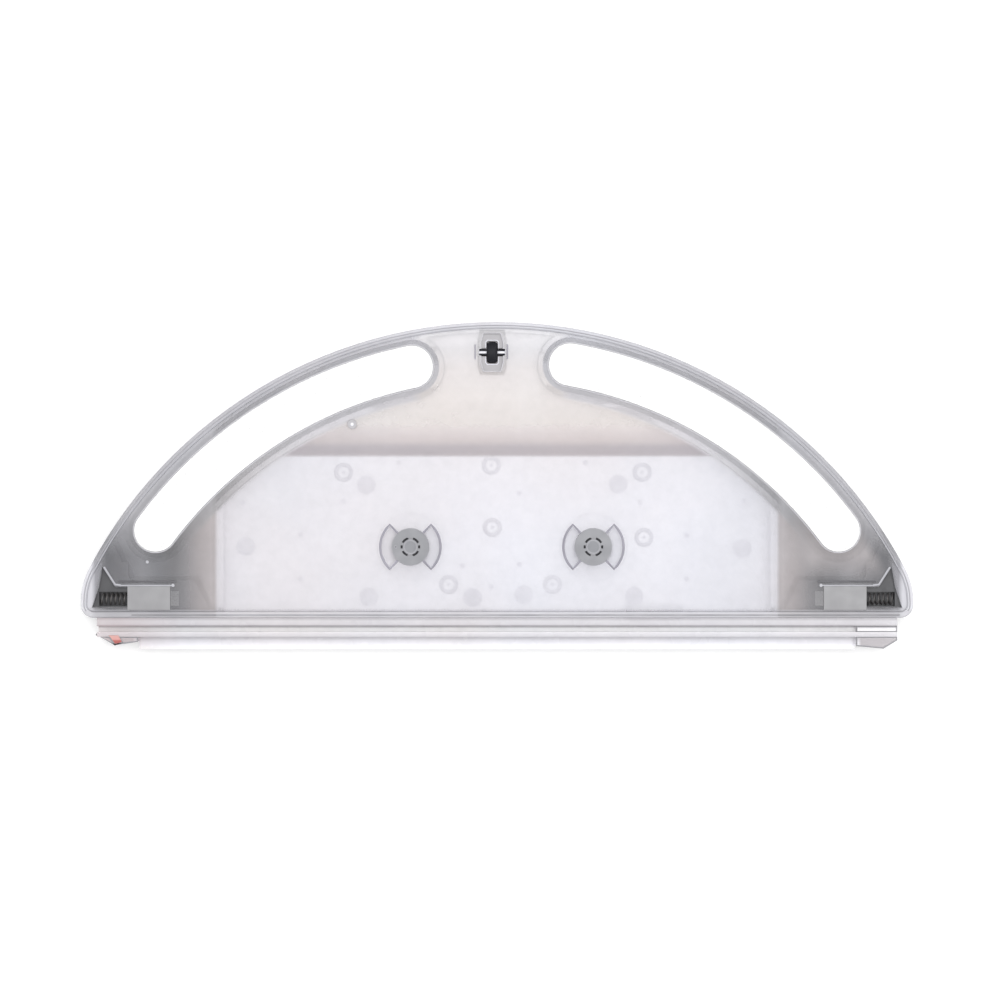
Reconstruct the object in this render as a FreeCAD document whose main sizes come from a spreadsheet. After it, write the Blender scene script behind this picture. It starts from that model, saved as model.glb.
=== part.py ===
import FreeCAD, Part
import math
import os
import Sketcher

# Water tank of a robot vacuum, lying on the flat face of its chamber with its underside up.
# X runs along the straight front edge, Y points from that edge to the arc and Z points up.
# Outlines are drawn about the centre of the outer arc. Each piece is then placed so that
# the origin is the bottom centre of the whole tank.

SIZES = {
    # The half-moon outline. Its front edge stands this far from the centre of the outer arc,
    # and the straight part of each side ends where the side's rounding starts
    "outer_radius": 174.0,
    "front_face": 62.3,
    "side_radius": 27.0,
    "corner_radius": 5.0,
    "side_straight": 0.94,
    # Heights and walls of the two shells. The wing room is the gap between them at the wings
    "tank_height": 18.0,
    "wing_room": 5.2,
    "wall": 1.8,
    "rim_wall": 2.2,
    "plate": 2.0,
    "plate_ledge": 1.5,
    "plate_bevel": 0.25,
    "seam_gap": 0.1,
    "rim_round": 0.6,
    "cut_spare": 1.0,
    # The deep water chamber and the ramp behind it, measured in from the side and the arc
    "chamber_side_setback": 51.5,
    "chamber_back_setback": 51.0,
    "ramp_back_setback": 29.4,
    "chamber_arc_setback": 24.0,
    "chamber_edge_round": 1.2,
    # Hook pads that hold the cloth: where their middle line and their end centres lie
    "pad_setback": 13.7,
    "pad_width": 16.0,
    "pad_near_left": 32.2,
    "pad_near_right": 27.6,
    "pad_end_setback": 28.3,
    "pad_recess": 1.0,
    "pad_thickness": 1.5,
    "pad_clearance": 0.15,
    "pad_border": 2.3,
    # Water outlets with their pull-out plugs. Slot bearings and sweeps are in degrees
    "outlet_left_x": -32.7,
    "outlet_right_x": 36.4,
    "outlet_reach": 26.8,
    "outlet_wall": 1.7,
    "outlet_cup_floor": 1.8,
    "finger_radius": 11.3,
    "finger_half_angle": 46.5,
    "finger_core": 4.0,
    "finger_depth": 3.2,
    "plug_head_radius": 7.0,
    "plug_head_sink": 0.2,
    "plug_shoulder": 1.4,
    "plug_stem_length": 7.0,
    "plug_wall": 1.7,
    "plug_roof": 1.2,
    "plug_fit": 0.05,
    "seat_gap": 0.1,
    "slot_ring_radius": 3.3,
    "slot_width": 0.8,
    "slot_lead": 29.0,
    "slot_sweep": 44.0,
    "short_slot_sweep": 20.0,
    "gate_mark_offset": 5.5,
    "gate_mark_radius": 0.6,
    "gate_mark_depth": 0.3,
    "seal_section": 0.9,
    "seal_height": 0.6,
    "wick_gap": 0.1,
    # Roller at the middle of the arc
    "roller_x": -1.85,
    "roller_setback": 11.4,
    "roller_gap": 0.6,
    "roller_width": 4.1,
    "roller_proud": 1.5,
    "roller_bevel": 0.8,
    "roller_fit": 0.05,
    "roller_side_gap": 2.05,
    "roller_end_gap": 3.05,
    "roller_wall": 1.4,
    "roller_corner_x": 0.9,
    "roller_corner_y": 3.2,
    "axle_radius": 1.4,
    "axle_hold": 0.8,
    "axle_snap": 0.1,
    # Latch at each end of the front edge: button, carriage, spring and hook
    "latch_travel": 3.5,
    "latch_gap": 0.3,
    "button_depth": 6.8,
    "button_front_thin": 2.9,
    "button_back_thick": 1.2,
    "button_reach": 20.7,
    "carriage_length": 26.4,
    "carriage_reach": 13.6,
    "carriage_floor": 1.2,
    "arm_width": 3.8,
    "arm_slant": 3.6,
    "spring_room": 10.8,
    "spring_slot_width": 5.4,
    "trough_wall": 0.4,
    "trough_spare": 4.4,
    "spring_mean_radius": 2.0,
    "spring_wire_radius": 0.3,
    "spring_turns": 5.0,
    "spring_play": 0.15,
    "hook_setback": 0.6,
    "hook_stem": 2.8,
    "hook_barb": 2.2,
    "hook_drop": 4.6,
    "hook_width": 5.0,
    "hook_slope": 1.2,
    "barb_height": 1.2,
    # Dry pocket that keeps the water away from each latch
    "dry_end_gap": 6.1,
    "dry_slant": 6.4,
    "dry_back_gap": 0.5,
    "dry_elbow_gap": 0.9,
    "dry_lean": 6.8,
    "dry_rise": 8.0,
    "dry_wall": 1.6,
    # Window in the underside over each latch, and the plate beside it
    "window_shelf_setback": 2.0,
    "window_elbow_offset": 1.1,
    "window_apex_offset": 1.5,
    "window_apex_setback": 1.4,
    "window_overhang": 2.6,
    "retainer_length": 16.1,
    "retainer_setback": 3.0,
    "retainer_width": 9.2,
    "retainer_thickness": 1.2,
    "retainer_sink": 0.2,
    "retainer_gap": 0.1,
    "retainer_tab": 1.2,
    "retainer_tab_width": 4.4,
    # Rail for the cloth's stiff strip: open at the left end and stopped at the right one
    "rail_end_setback": 6.0,
    "rail_reach": 12.1,
    "rail_sink": 1.0,
    "rail_height": 7.4,
    "rail_shelf": 1.6,
    "rail_flange": 3.2,
    "rail_slot": 2.2,
    "rail_lip": 1.8,
    "rail_slot_depth": 5.0,
    "rail_bead_width": 3.4,
    "rail_bead_height": 1.6,
    "guide_length": 15.4,
    "guide_sink": 0.6,
    "guide_slant": 6.6,
    "guide_point": 0.4,
    "guide_nose": 1.8,
    "guide_heel": 3.0,
    "stop_slant": 5.2,
    "stop_nose": 0.5,
    "stop_heel": 1.4,
    "stop_tip": 3.6,
    "marker_setback": 6.9,
    "marker_offset": 1.1,
    "marker_length": 5.0,
    "marker_width": 3.4,
    "marker_depth": 1.2,
    # Filling hole in the chamber's front wall, between the floor and the rail, and its bung
    "fill_setback": 45.7,
    "fill_sill": 2.2,
    "fill_head": 1.3,
    "fill_length": 22.0,
    "bung_depth": 5.0,
    "bung_fit": 0.12,
    "bung_wall": 0.8,
    "bung_flange": 0.9,
    "bung_flange_thickness": 1.6,
    "bung_tab_reach": 7.0,
    "bung_tab_height": 5.0,
    # Air valve, its head sunk in the underside
    "vent_x": -54.7,
    "vent_setback": 27.97,
    "vent_sink": 0.1,
    "vent_clearance": 0.25,
    "vent_head_radius": 1.7,
    "vent_head_thickness": 0.8,
    "vent_stem_radius": 0.8,
    "vent_bulb_radius": 1.2,
    "vent_bulb_length": 1.6,
}

# Places and sizes that follow from the driving ones
LAYOUT = {
    "half_width": ("Sizes.side_radius + sqrt((Sizes.outer_radius - Sizes.side_radius)^2"
                   " - (Sizes.front_face + Sizes.corner_radius + Sizes.side_straight)^2)"),
    "wing_floor": "Sizes.tank_height - Sizes.plate - Sizes.wing_room",
    "wing_level": "wing_floor - Sizes.wall",
    "chamber_half_length": "half_width - Sizes.chamber_side_setback",
    "chamber_back": "Sizes.outer_radius - Sizes.chamber_back_setback",
    "ramp_back": "Sizes.outer_radius - Sizes.ramp_back_setback",
    "chamber_arc_radius": "Sizes.outer_radius - Sizes.chamber_arc_setback",
    "pad_mid_radius": "Sizes.outer_radius - Sizes.pad_setback",
    "pad_far_x": "half_width - Sizes.pad_end_setback",
    "outlet_y": "Sizes.front_face + Sizes.outlet_reach",
    "outlet_cup_radius": "Sizes.finger_radius + Sizes.outlet_wall",
    "plug_stem_radius": "Sizes.plug_head_radius - Sizes.plug_shoulder",
    "roller_y": "Sizes.outer_radius - Sizes.roller_setback",
    "roller_radius": "(Sizes.plate + Sizes.wing_room + Sizes.roller_proud - Sizes.roller_gap) / 2",
    "roller_pocket_length": "Sizes.roller_width + 2 * Sizes.roller_side_gap",
    "roller_pocket_width": "2 * (roller_radius + Sizes.roller_end_gap)",
    "axle_length": "roller_pocket_length + 2 * Sizes.axle_hold",
    "latch_head_inner": "half_width - Sizes.button_depth",
    "button_back": "Sizes.front_face + Sizes.button_reach",
    "head_front_x": "latch_head_inner + Sizes.button_front_thin",
    "head_back_x": "latch_head_inner - Sizes.button_back_thick",
    "head_edge_x": ("head_back_x + (head_front_x - head_back_x) * Sizes.latch_gap"
                    " / (button_back - carriage_front)"),
    "carriage_front": "Sizes.front_face + Sizes.rim_wall + Sizes.plate_ledge + Sizes.latch_gap",
    "carriage_back": "Sizes.front_face + Sizes.carriage_reach",
    "carriage_inner": "latch_head_inner - Sizes.carriage_length",
    "carriage_arm_x": "latch_head_inner - Sizes.arm_width",
    "carriage_elbow_x": "carriage_arm_x - Sizes.arm_slant",
    "carriage_thickness": "Sizes.wing_room - 2 * Sizes.latch_gap",
    "latch_y": "carriage_front + Sizes.trough_wall + Sizes.spring_slot_width / 2",
    "spring_seat_x": "latch_head_inner - Sizes.spring_room",
    "spring_slot_end": "spring_seat_x - Sizes.retainer_tab - Sizes.trough_spare",
    "hook_inner": "carriage_inner + Sizes.hook_setback",
    "dry_corner_x": "carriage_inner - Sizes.latch_travel - Sizes.dry_end_gap",
    "dry_front_x": "dry_corner_x - Sizes.dry_slant",
    "dry_back_y": "carriage_back + Sizes.dry_back_gap",
    "dry_elbow_x": "carriage_elbow_x - Sizes.latch_travel - Sizes.dry_elbow_gap",
    "dry_top_x": "dry_elbow_x + Sizes.dry_lean",
    "dry_top_y": "button_back + Sizes.dry_rise",
    "window_inner_x": "spring_seat_x - Sizes.seam_gap",
    "window_front_y": "Sizes.front_face + Sizes.rim_wall + Sizes.plate_ledge + Sizes.seam_gap",
    "window_shelf_y": "carriage_back - Sizes.window_shelf_setback",
    "window_elbow_x": "carriage_elbow_x + Sizes.window_elbow_offset",
    "window_apex_x": "latch_head_inner - Sizes.window_apex_offset",
    "window_apex_y": "button_back - Sizes.window_apex_setback",
    "window_mid_x": "latch_head_inner - Sizes.seam_gap",
    "window_front_x": "latch_head_inner + Sizes.window_overhang",
    "retainer_front_y": "Sizes.front_face + Sizes.retainer_setback",
    "retainer_back_y": "retainer_front_y + Sizes.retainer_width",
    "rail_half_length": "half_width - Sizes.rail_end_setback",
    "rail_front": "Sizes.front_face - Sizes.rail_reach",
    "lip_back": "Sizes.front_face - Sizes.rail_flange - Sizes.rail_slot",
    "lip_front": "lip_back - Sizes.rail_lip",
    "rail_top": "Sizes.tank_height - Sizes.rail_sink",
    "rail_bottom": "rail_top - Sizes.rail_height",
    "rail_slot_floor": "rail_top - Sizes.rail_slot_depth",
    "guide_top": "rail_top - Sizes.guide_sink",
    "guide_inner": "rail_half_length - Sizes.guide_length",
    "marker_x": "Sizes.marker_setback - rail_half_length",
    "marker_y": "lip_front - Sizes.marker_offset",
    "fill_x": "chamber_half_length - Sizes.fill_setback",
    "fill_height": "rail_bottom - Sizes.fill_sill - Sizes.fill_head",
    "bung_length": "Sizes.fill_length - 2 * Sizes.bung_fit",
    "bung_height": "fill_height - 2 * Sizes.bung_fit",
    "fill_z": "Sizes.fill_sill + fill_height / 2",
    "vent_y": "sqrt((Sizes.outer_radius - Sizes.vent_setback)^2 - Sizes.vent_x^2)",
    "vent_recess": "Sizes.vent_head_thickness + Sizes.vent_sink",
}

doc = FreeCAD.newDocument("WaterTank")


def write_sheet(name, cells):
    """Make a sheet with a row for each cell, under its own alias."""
    sheet = doc.addObject("Spreadsheet::Sheet", name)
    for row, (alias, content) in enumerate(cells.items(), start=1):
        sheet.set(f"A{row}", alias)
        sheet.set(f"B{row}", content)
        sheet.setAlias(f"B{row}", alias)
    doc.recompute()
    return sheet


sizes = write_sheet("Sizes", {alias: str(number) for alias, number in SIZES.items()})
write_sheet("Layout", {alias: f"={formula}" for alias, formula in LAYOUT.items()})

# Levels and centres that several pieces share, as expressions on the sheet
UNDERSIDE = "Sizes.tank_height"
PLATE_SEAT = "(Sizes.tank_height - Sizes.plate)"
WING_FLOOR = "Layout.wing_floor"
RIM_INSET = "Sizes.rim_wall"
LEDGE_INSET = "(Sizes.rim_wall + Sizes.plate_ledge)"
ARC_CENTRE_Y = "(-(Sizes.outer_radius + Layout.rail_front) / 2)"
OUTLET_FLOOR = "(Sizes.tank_height - Sizes.finger_depth)"
OUTLET_CUP_BOTTOM = f"({OUTLET_FLOOR} - Sizes.outlet_cup_floor)"
CARRIAGE_BOTTOM = f"({WING_FLOOR} + Sizes.latch_gap)"
CARRIAGE_TOP = f"({CARRIAGE_BOTTOM} + Layout.carriage_thickness)"
ROLLER_Z = "(Sizes.tank_height + Sizes.roller_proud - Layout.roller_radius)"
SPRING_Z = (f"({CARRIAGE_BOTTOM} + Sizes.carriage_floor + Sizes.spring_play"
            " + Sizes.spring_mean_radius + Sizes.spring_wire_radius)")
RAMP_SHIFT = ("(Sizes.wall * tan(atan(Layout.wing_level"
              " / (Layout.ramp_back - Layout.chamber_back)) / 2))")
SIDES = {"left": -1, "right": 1}

# The spring is drawn with this many straight pieces in a turn, and its wire with flats
SPRING_PIECES_PER_TURN = 14
SPRING_WIRE_FLATS = 4


def size(expression):
    """Number that an expression on the sheet comes to."""
    result = sizes.evalExpression(expression)
    return float(getattr(result, "Value", result))


def vector(x, y, z="0"):
    return FreeCAD.Vector(size(x), size(y), size(z))


# Sketch helpers


def free_sketch(name, level, plane="XY"):
    """Sketch that stands by itself, at a bound level above its plane."""
    sketch = doc.addObject("Sketcher::SketchObject", name)
    if plane == "YZ":
        sketch.Placement.Rotation = FreeCAD.Rotation(
            FreeCAD.Vector(0, 1, 0), FreeCAD.Vector(0, 0, 1), FreeCAD.Vector(1, 0, 0), "ZXY")
    elif plane == "XZ":
        sketch.Placement.Rotation = FreeCAD.Rotation(
            FreeCAD.Vector(1, 0, 0), FreeCAD.Vector(0, 0, 1), FreeCAD.Vector(0, -1, 0), "ZXY")
    axis = {"XY": "z", "YZ": "x", "XZ": "y"}[plane]
    sketch.setExpression(f"Placement.Base.{axis}", level)
    return sketch


def body_sketch(body, name, level="0", plane="XY"):
    """Sketch of a body, on one of its origin planes and moved along that plane's normal."""
    sketch = body.newObject("Sketcher::SketchObject", name)
    role = f"{plane}_Plane"
    support = next(item for item in body.Origin.OriginFeatures if item.Role == role)
    sketch.AttachmentSupport = (support, [""])
    sketch.MapMode = "FlatFace"
    sketch.setExpression("AttachmentOffset.Base.z", level)
    return sketch


def bind(sketch, kind, *where, to):
    """Add one dimension to a sketch and tie it to an expression."""
    index = sketch.addConstraint(Sketcher.Constraint(kind, *where, size(to)))
    sketch.setExpression(f"Constraints[{index}]", to)


def polygon(sketch, corners):
    """Closed outline through corners, each a pair of expressions."""
    points = [vector(x, y) for x, y in corners]
    first = sketch.GeometryCount
    count = len(points)
    for number, point in enumerate(points):
        sketch.addGeometry(Part.LineSegment(point, points[(number + 1) % count]), False)
    for number, (x, y) in enumerate(corners):
        following = first + (number + 1) % count
        sketch.addConstraint(Sketcher.Constraint("Coincident", first + number, 2, following, 1))
        bind(sketch, "DistanceX", -1, 1, first + number, 1, to=x)
        bind(sketch, "DistanceY", -1, 1, first + number, 1, to=y)


def circle(sketch, x, y, radius):
    """Full circle about a bound centre."""
    shape = Part.Circle(vector(x, y), FreeCAD.Vector(0, 0, 1), size(radius))
    index = sketch.addGeometry(shape, False)
    bind(sketch, "DistanceX", -1, 1, index, 3, to=x)
    bind(sketch, "DistanceY", -1, 1, index, 3, to=y)
    bind(sketch, "Radius", index, to=radius)


def rectangle(sketch, x_low, x_high, y_low, y_high):
    polygon(sketch, [(x_low, y_low), (x_high, y_low), (x_high, y_high), (x_low, y_high)])


def arc(centre, radius, start, end):
    whole = Part.Circle(centre, FreeCAD.Vector(0, 0, 1), radius)
    return Part.ArcOfCircle(whole, start, end)


def join(sketch, first, first_end, second, second_end):
    """Make two ends meet, running on in the same direction."""
    sketch.addConstraint(Sketcher.Constraint("Tangent", first, first_end, second, second_end))


def side_centre_y():
    return size("(Sizes.front_face + Sizes.corner_radius + Sizes.side_straight)")


def tank_outline(sketch, inset):
    """Half-moon outline of the tank, drawn inwards by an inset."""
    bound = {
        "arc": f"(Sizes.outer_radius - {inset})",
        "width": f"(Layout.half_width - {inset})",
        "side": f"(Sizes.side_radius - {inset})",
        "corner": f"(Sizes.corner_radius - {inset})",
        "front": f"(Sizes.front_face + {inset})",
    }
    value = {name: size(expression) for name, expression in bound.items()}
    side_x = value["width"] - value["side"]
    side_y = side_centre_y()
    corner_x = value["width"] - value["corner"]
    corner_y = value["front"] + value["corner"]
    turn = math.atan2(side_y, side_x)
    origin = FreeCAD.Vector(0, 0, 0)

    right_side = sketch.addGeometry(
        arc(FreeCAD.Vector(side_x, side_y, 0), value["side"], 0, turn), False)
    top = sketch.addGeometry(arc(origin, value["arc"], turn, math.pi - turn), False)
    left_side = sketch.addGeometry(
        arc(FreeCAD.Vector(-side_x, side_y, 0), value["side"], math.pi - turn, math.pi), False)
    left_line = sketch.addGeometry(Part.LineSegment(
        FreeCAD.Vector(-value["width"], side_y, 0),
        FreeCAD.Vector(-value["width"], corner_y, 0)), False)
    left_corner = sketch.addGeometry(
        arc(FreeCAD.Vector(-corner_x, corner_y, 0), value["corner"],
            math.pi, 1.5 * math.pi), False)
    front_line = sketch.addGeometry(Part.LineSegment(
        FreeCAD.Vector(-corner_x, value["front"], 0),
        FreeCAD.Vector(corner_x, value["front"], 0)), False)
    right_corner = sketch.addGeometry(
        arc(FreeCAD.Vector(corner_x, corner_y, 0), value["corner"],
            1.5 * math.pi, 2 * math.pi), False)
    right_line = sketch.addGeometry(Part.LineSegment(
        FreeCAD.Vector(value["width"], corner_y, 0),
        FreeCAD.Vector(value["width"], side_y, 0)), False)

    loop = [right_side, top, left_side, left_line, left_corner, front_line, right_corner,
            right_line]
    for number, piece in enumerate(loop):
        join(sketch, piece, 2, loop[(number + 1) % len(loop)], 1)
    sketch.addConstraint(Sketcher.Constraint("Coincident", top, 3, -1, 1))
    sketch.addConstraint(Sketcher.Constraint("Vertical", left_line))
    sketch.addConstraint(Sketcher.Constraint("Vertical", right_line))
    sketch.addConstraint(Sketcher.Constraint("Horizontal", front_line))
    bind(sketch, "Radius", top, to=bound["arc"])
    for piece in (right_side, left_side):
        bind(sketch, "Radius", piece, to=bound["side"])
    for piece in (left_corner, right_corner):
        bind(sketch, "Radius", piece, to=bound["corner"])
    bind(sketch, "DistanceX", -1, 1, right_line, 2, to=bound["width"])
    bind(sketch, "DistanceX", -1, 1, left_line, 1, to=f"(-{bound['width']})")
    bind(sketch, "DistanceY", -1, 1, front_line, 1, to=bound["front"])


def pad_outline(sketch, side, grow):
    """Curved slot with round ends that a hook pad fills, made wider by grow all round."""
    sign = SIDES[side]
    near = f"Sizes.pad_near_{side}"
    far = "Layout.pad_far_x"
    middle = size("Layout.pad_mid_radius")
    half = size(f"(Sizes.pad_width / 2 + {grow})")
    bearings = sorted((math.acos(sign * size(x) / middle), x) for x in (near, far))
    (start, start_x), (end, end_x) = bearings
    origin = FreeCAD.Vector(0, 0, 0)
    start_centre = FreeCAD.Vector(math.cos(start), math.sin(start), 0) * middle
    end_centre = FreeCAD.Vector(math.cos(end), math.sin(end), 0) * middle

    outer = sketch.addGeometry(arc(origin, middle + half, start, end), False)
    end_cap = sketch.addGeometry(arc(end_centre, half, end, end + math.pi), False)
    inner = sketch.addGeometry(arc(origin, middle - half, start, end), False)
    start_cap = sketch.addGeometry(
        arc(start_centre, half, start + math.pi, start + 2 * math.pi), False)

    join(sketch, outer, 2, end_cap, 1)
    join(sketch, end_cap, 2, inner, 2)
    join(sketch, inner, 1, start_cap, 1)
    join(sketch, start_cap, 2, outer, 1)
    for piece in (outer, inner):
        sketch.addConstraint(Sketcher.Constraint("Coincident", piece, 3, -1, 1))
    bind(sketch, "Radius", outer, to=f"(Layout.pad_mid_radius + Sizes.pad_width / 2 + {grow})")
    bind(sketch, "Radius", inner, to=f"(Layout.pad_mid_radius - Sizes.pad_width / 2 - {grow})")
    for cap, x in ((start_cap, start_x), (end_cap, end_x)):
        bind(sketch, "DistanceX", -1, 1, cap, 3, to=f"({sign} * {x})")


def finger_sector(sketch, centre_x, sign):
    """Wedge of the finger recess on one side of an outlet."""
    centre = vector(centre_x, "Layout.outlet_y")
    radius = size("Sizes.finger_radius")
    core = size("Sizes.finger_core")
    half = math.radians(size("Sizes.finger_half_angle"))
    middle = 0 if sign > 0 else math.pi
    rays = [FreeCAD.Vector(math.cos(turn), math.sin(turn), 0)
            for turn in (middle - half, middle + half)]
    rim = sketch.addGeometry(arc(centre, radius, middle - half, middle + half), False)
    lines = [
        sketch.addGeometry(Part.LineSegment(centre + rays[1] * radius, centre + rays[1] * core)),
        sketch.addGeometry(Part.LineSegment(centre + rays[1] * core, centre + rays[0] * core)),
        sketch.addGeometry(Part.LineSegment(centre + rays[0] * core, centre + rays[0] * radius)),
    ]
    loop = [rim] + lines
    for number, piece in enumerate(loop):
        following = loop[(number + 1) % len(loop)]
        sketch.addConstraint(Sketcher.Constraint("Coincident", piece, 2, following, 1))
    bind(sketch, "DistanceX", -1, 1, rim, 3, to=centre_x)
    bind(sketch, "DistanceY", -1, 1, rim, 3, to="Layout.outlet_y")
    bind(sketch, "Radius", rim, to="Sizes.finger_radius")
    rise = "sin(Sizes.finger_half_angle * 1 deg)"
    run = "cos(Sizes.finger_half_angle * 1 deg)"
    bind(sketch, "DistanceY", -1, 1, rim, 1,
         to=f"(Layout.outlet_y - {sign} * Sizes.finger_radius * {rise})")
    bind(sketch, "DistanceY", -1, 1, rim, 2,
         to=f"(Layout.outlet_y + {sign} * Sizes.finger_radius * {rise})")
    for line, end, way in ((lines[0], 2, sign), (lines[1], 2, -sign)):
        bind(sketch, "DistanceX", -1, 1, line, end,
             to=f"({centre_x} + {sign} * Sizes.finger_core * {run})")
        bind(sketch, "DistanceY", -1, 1, line, end,
             to=f"(Layout.outlet_y + {way} * Sizes.finger_core * {rise})")


# Solid helpers


def extrude(name, sketch, length, both_ways=False):
    """Straight solid on a free sketch, along the sketch's normal."""
    solid = doc.addObject("Part::Extrusion", name)
    solid.Base = sketch
    solid.DirMode = "Normal"
    solid.Symmetric = both_ways
    solid.Solid = True
    solid.setExpression("LengthFwd", length)
    return solid


def slab(name, level, length, draw, plane="XY", both_ways=False):
    """Straight solid on a new free sketch, which the draw function fills."""
    sketch = free_sketch(f"{name}_sketch", level, plane)
    draw(sketch)
    return extrude(name, sketch, length, both_ways)


def block(name, x_low, y_low, z_low, length, width, height):
    """Box whose corner and sides are bound."""
    solid = doc.addObject("Part::Box", name)
    for axis, expression in zip("xyz", (x_low, y_low, z_low)):
        solid.setExpression(f"Placement.Base.{axis}", expression)
    for side, expression in zip(("Length", "Width", "Height"), (length, width, height)):
        solid.setExpression(side, expression)
    return solid


def fuse(name, pieces):
    solid = doc.addObject("Part::MultiFuse", name)
    solid.Shapes = pieces
    return solid


def cut(name, base, tools):
    """Take tools away from a base, and make sure that each of them bites."""
    solid = doc.addObject("Part::Cut", name)
    solid.Base = base
    solid.Tool = tools[0] if len(tools) == 1 else fuse(f"{name}_tools", tools)
    doc.recompute()
    for tool in tools:
        if base.Shape.common(tool.Shape).Volume < 1e-3:
            raise RuntimeError(f"{tool.Name} takes nothing from {base.Name}")
    return solid


def common(name, base, tool):
    solid = doc.addObject("Part::Common", name)
    solid.Base = base
    solid.Tool = tool
    return solid


def new_body(label):
    body = doc.addObject("PartDesign::Body", label)
    body.Label = label
    return body


def pad(body, sketch, length, down=False, both_ways=False):
    """Add material to a body along the sketch's normal, or against it."""
    feature = body.newObject("PartDesign::Pad", f"{sketch.Name}_pad")
    feature.Profile = sketch
    feature.setExpression("Length", length)
    feature.Reversed = down
    feature.Midplane = both_ways
    sketch.Visibility = False
    return feature


def pocket(body, sketch, length=None, up=False, both_ways=False):
    """Take material from a body against the sketch's normal, or along it."""
    doc.recompute()
    before = body.Shape.Volume
    feature = body.newObject("PartDesign::Pocket", f"{sketch.Name}_pocket")
    feature.Profile = sketch
    if length is None:
        feature.Type = "ThroughAll"
    else:
        feature.setExpression("Length", length)
    feature.Reversed = up
    feature.Midplane = both_ways
    doc.recompute()
    if body.Shape.Volume > before - 1e-4:
        raise RuntimeError(f"{feature.Name} takes nothing away")
    return feature


def place(piece, x="0", y=ARC_CENTRE_Y, z="0"):
    """Bind where a piece stands in the tank."""
    for axis, expression in zip("xyz", (x, y, z)):
        piece.setExpression(f"Placement.Base.{axis}", expression)
    return piece


def edges_where(shape, test):
    """Names of the edges that pass a test."""
    return [f"Edge{number}" for number, edge in enumerate(shape.Edges, start=1) if test(edge)]


def round_edges(name, base, edges, radius):
    """Round named edges of a solid with one radius."""
    solid = doc.addObject("Part::Fillet", name)
    solid.Base = base
    amount = size(radius)
    solid.Edges = [(int(edge[len("Edge"):]), amount, amount) for edge in edges]
    return solid


def is_level(edge, height):
    box = edge.BoundBox
    return abs(box.ZMin - height) < 1e-4 and abs(box.ZMax - height) < 1e-4


# Robot-side shell


def chamber_profile(sketch, grow, top):
    """Side view of the deep chamber and its ramp, drawn inwards by grow."""
    low = f"({grow})"
    shift = f"({RAMP_SHIFT} / Sizes.wall * {grow})"
    polygon(sketch, [
        (f"(Sizes.front_face + {grow})", low),
        (f"(Layout.chamber_back - {shift})", low),
        (f"(Layout.ramp_back - {shift})", f"(Layout.wing_level + {grow})"),
        (f"(Layout.ramp_back - {shift})", top),
        (f"(Sizes.front_face + {grow})", top),
    ])


def chamber_solid(name, grow, top):
    """Deep chamber as one solid, with its corners cut back to the arc wall."""
    profile = slab(f"{name}_length", "0", f"(2 * (Layout.chamber_half_length - {grow}))",
                   lambda sketch: chamber_profile(sketch, grow, top), "YZ", both_ways=True)
    drum = slab(f"{name}_arc", "0", UNDERSIDE,
                lambda sketch: circle(sketch, "0", "0", f"(Layout.chamber_arc_radius - {grow})"))
    return common(name, profile, drum)


def dry_pocket_outline(sketch, sign, grow):
    """Plan of the dry pocket round a latch, made larger by grow."""
    far_x = f"({sign} * (Layout.half_width + Sizes.cut_spare))"
    front_y = "(Sizes.front_face + Sizes.wall)"
    polygon(sketch, [
        (f"({sign} * (Layout.dry_front_x - {grow}))", front_y),
        (f"({sign} * (Layout.dry_corner_x - {grow}))", f"(Layout.dry_back_y + {grow})"),
        (f"({sign} * (Layout.dry_elbow_x - {grow}))", f"(Layout.dry_back_y + {grow})"),
        (f"({sign} * (Layout.dry_top_x - {grow}))", f"(Layout.dry_top_y + {grow})"),
        (far_x, f"(Layout.dry_top_y + {grow})"),
        (far_x, front_y),
    ])


def inner_space(name):
    """Everything inside the rim, between the wings' floor and the underside plate."""
    return slab(name, WING_FLOOR, f"({PLATE_SEAT} - {WING_FLOOR})",
                lambda sketch: tank_outline(sketch, LEDGE_INSET))


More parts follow.
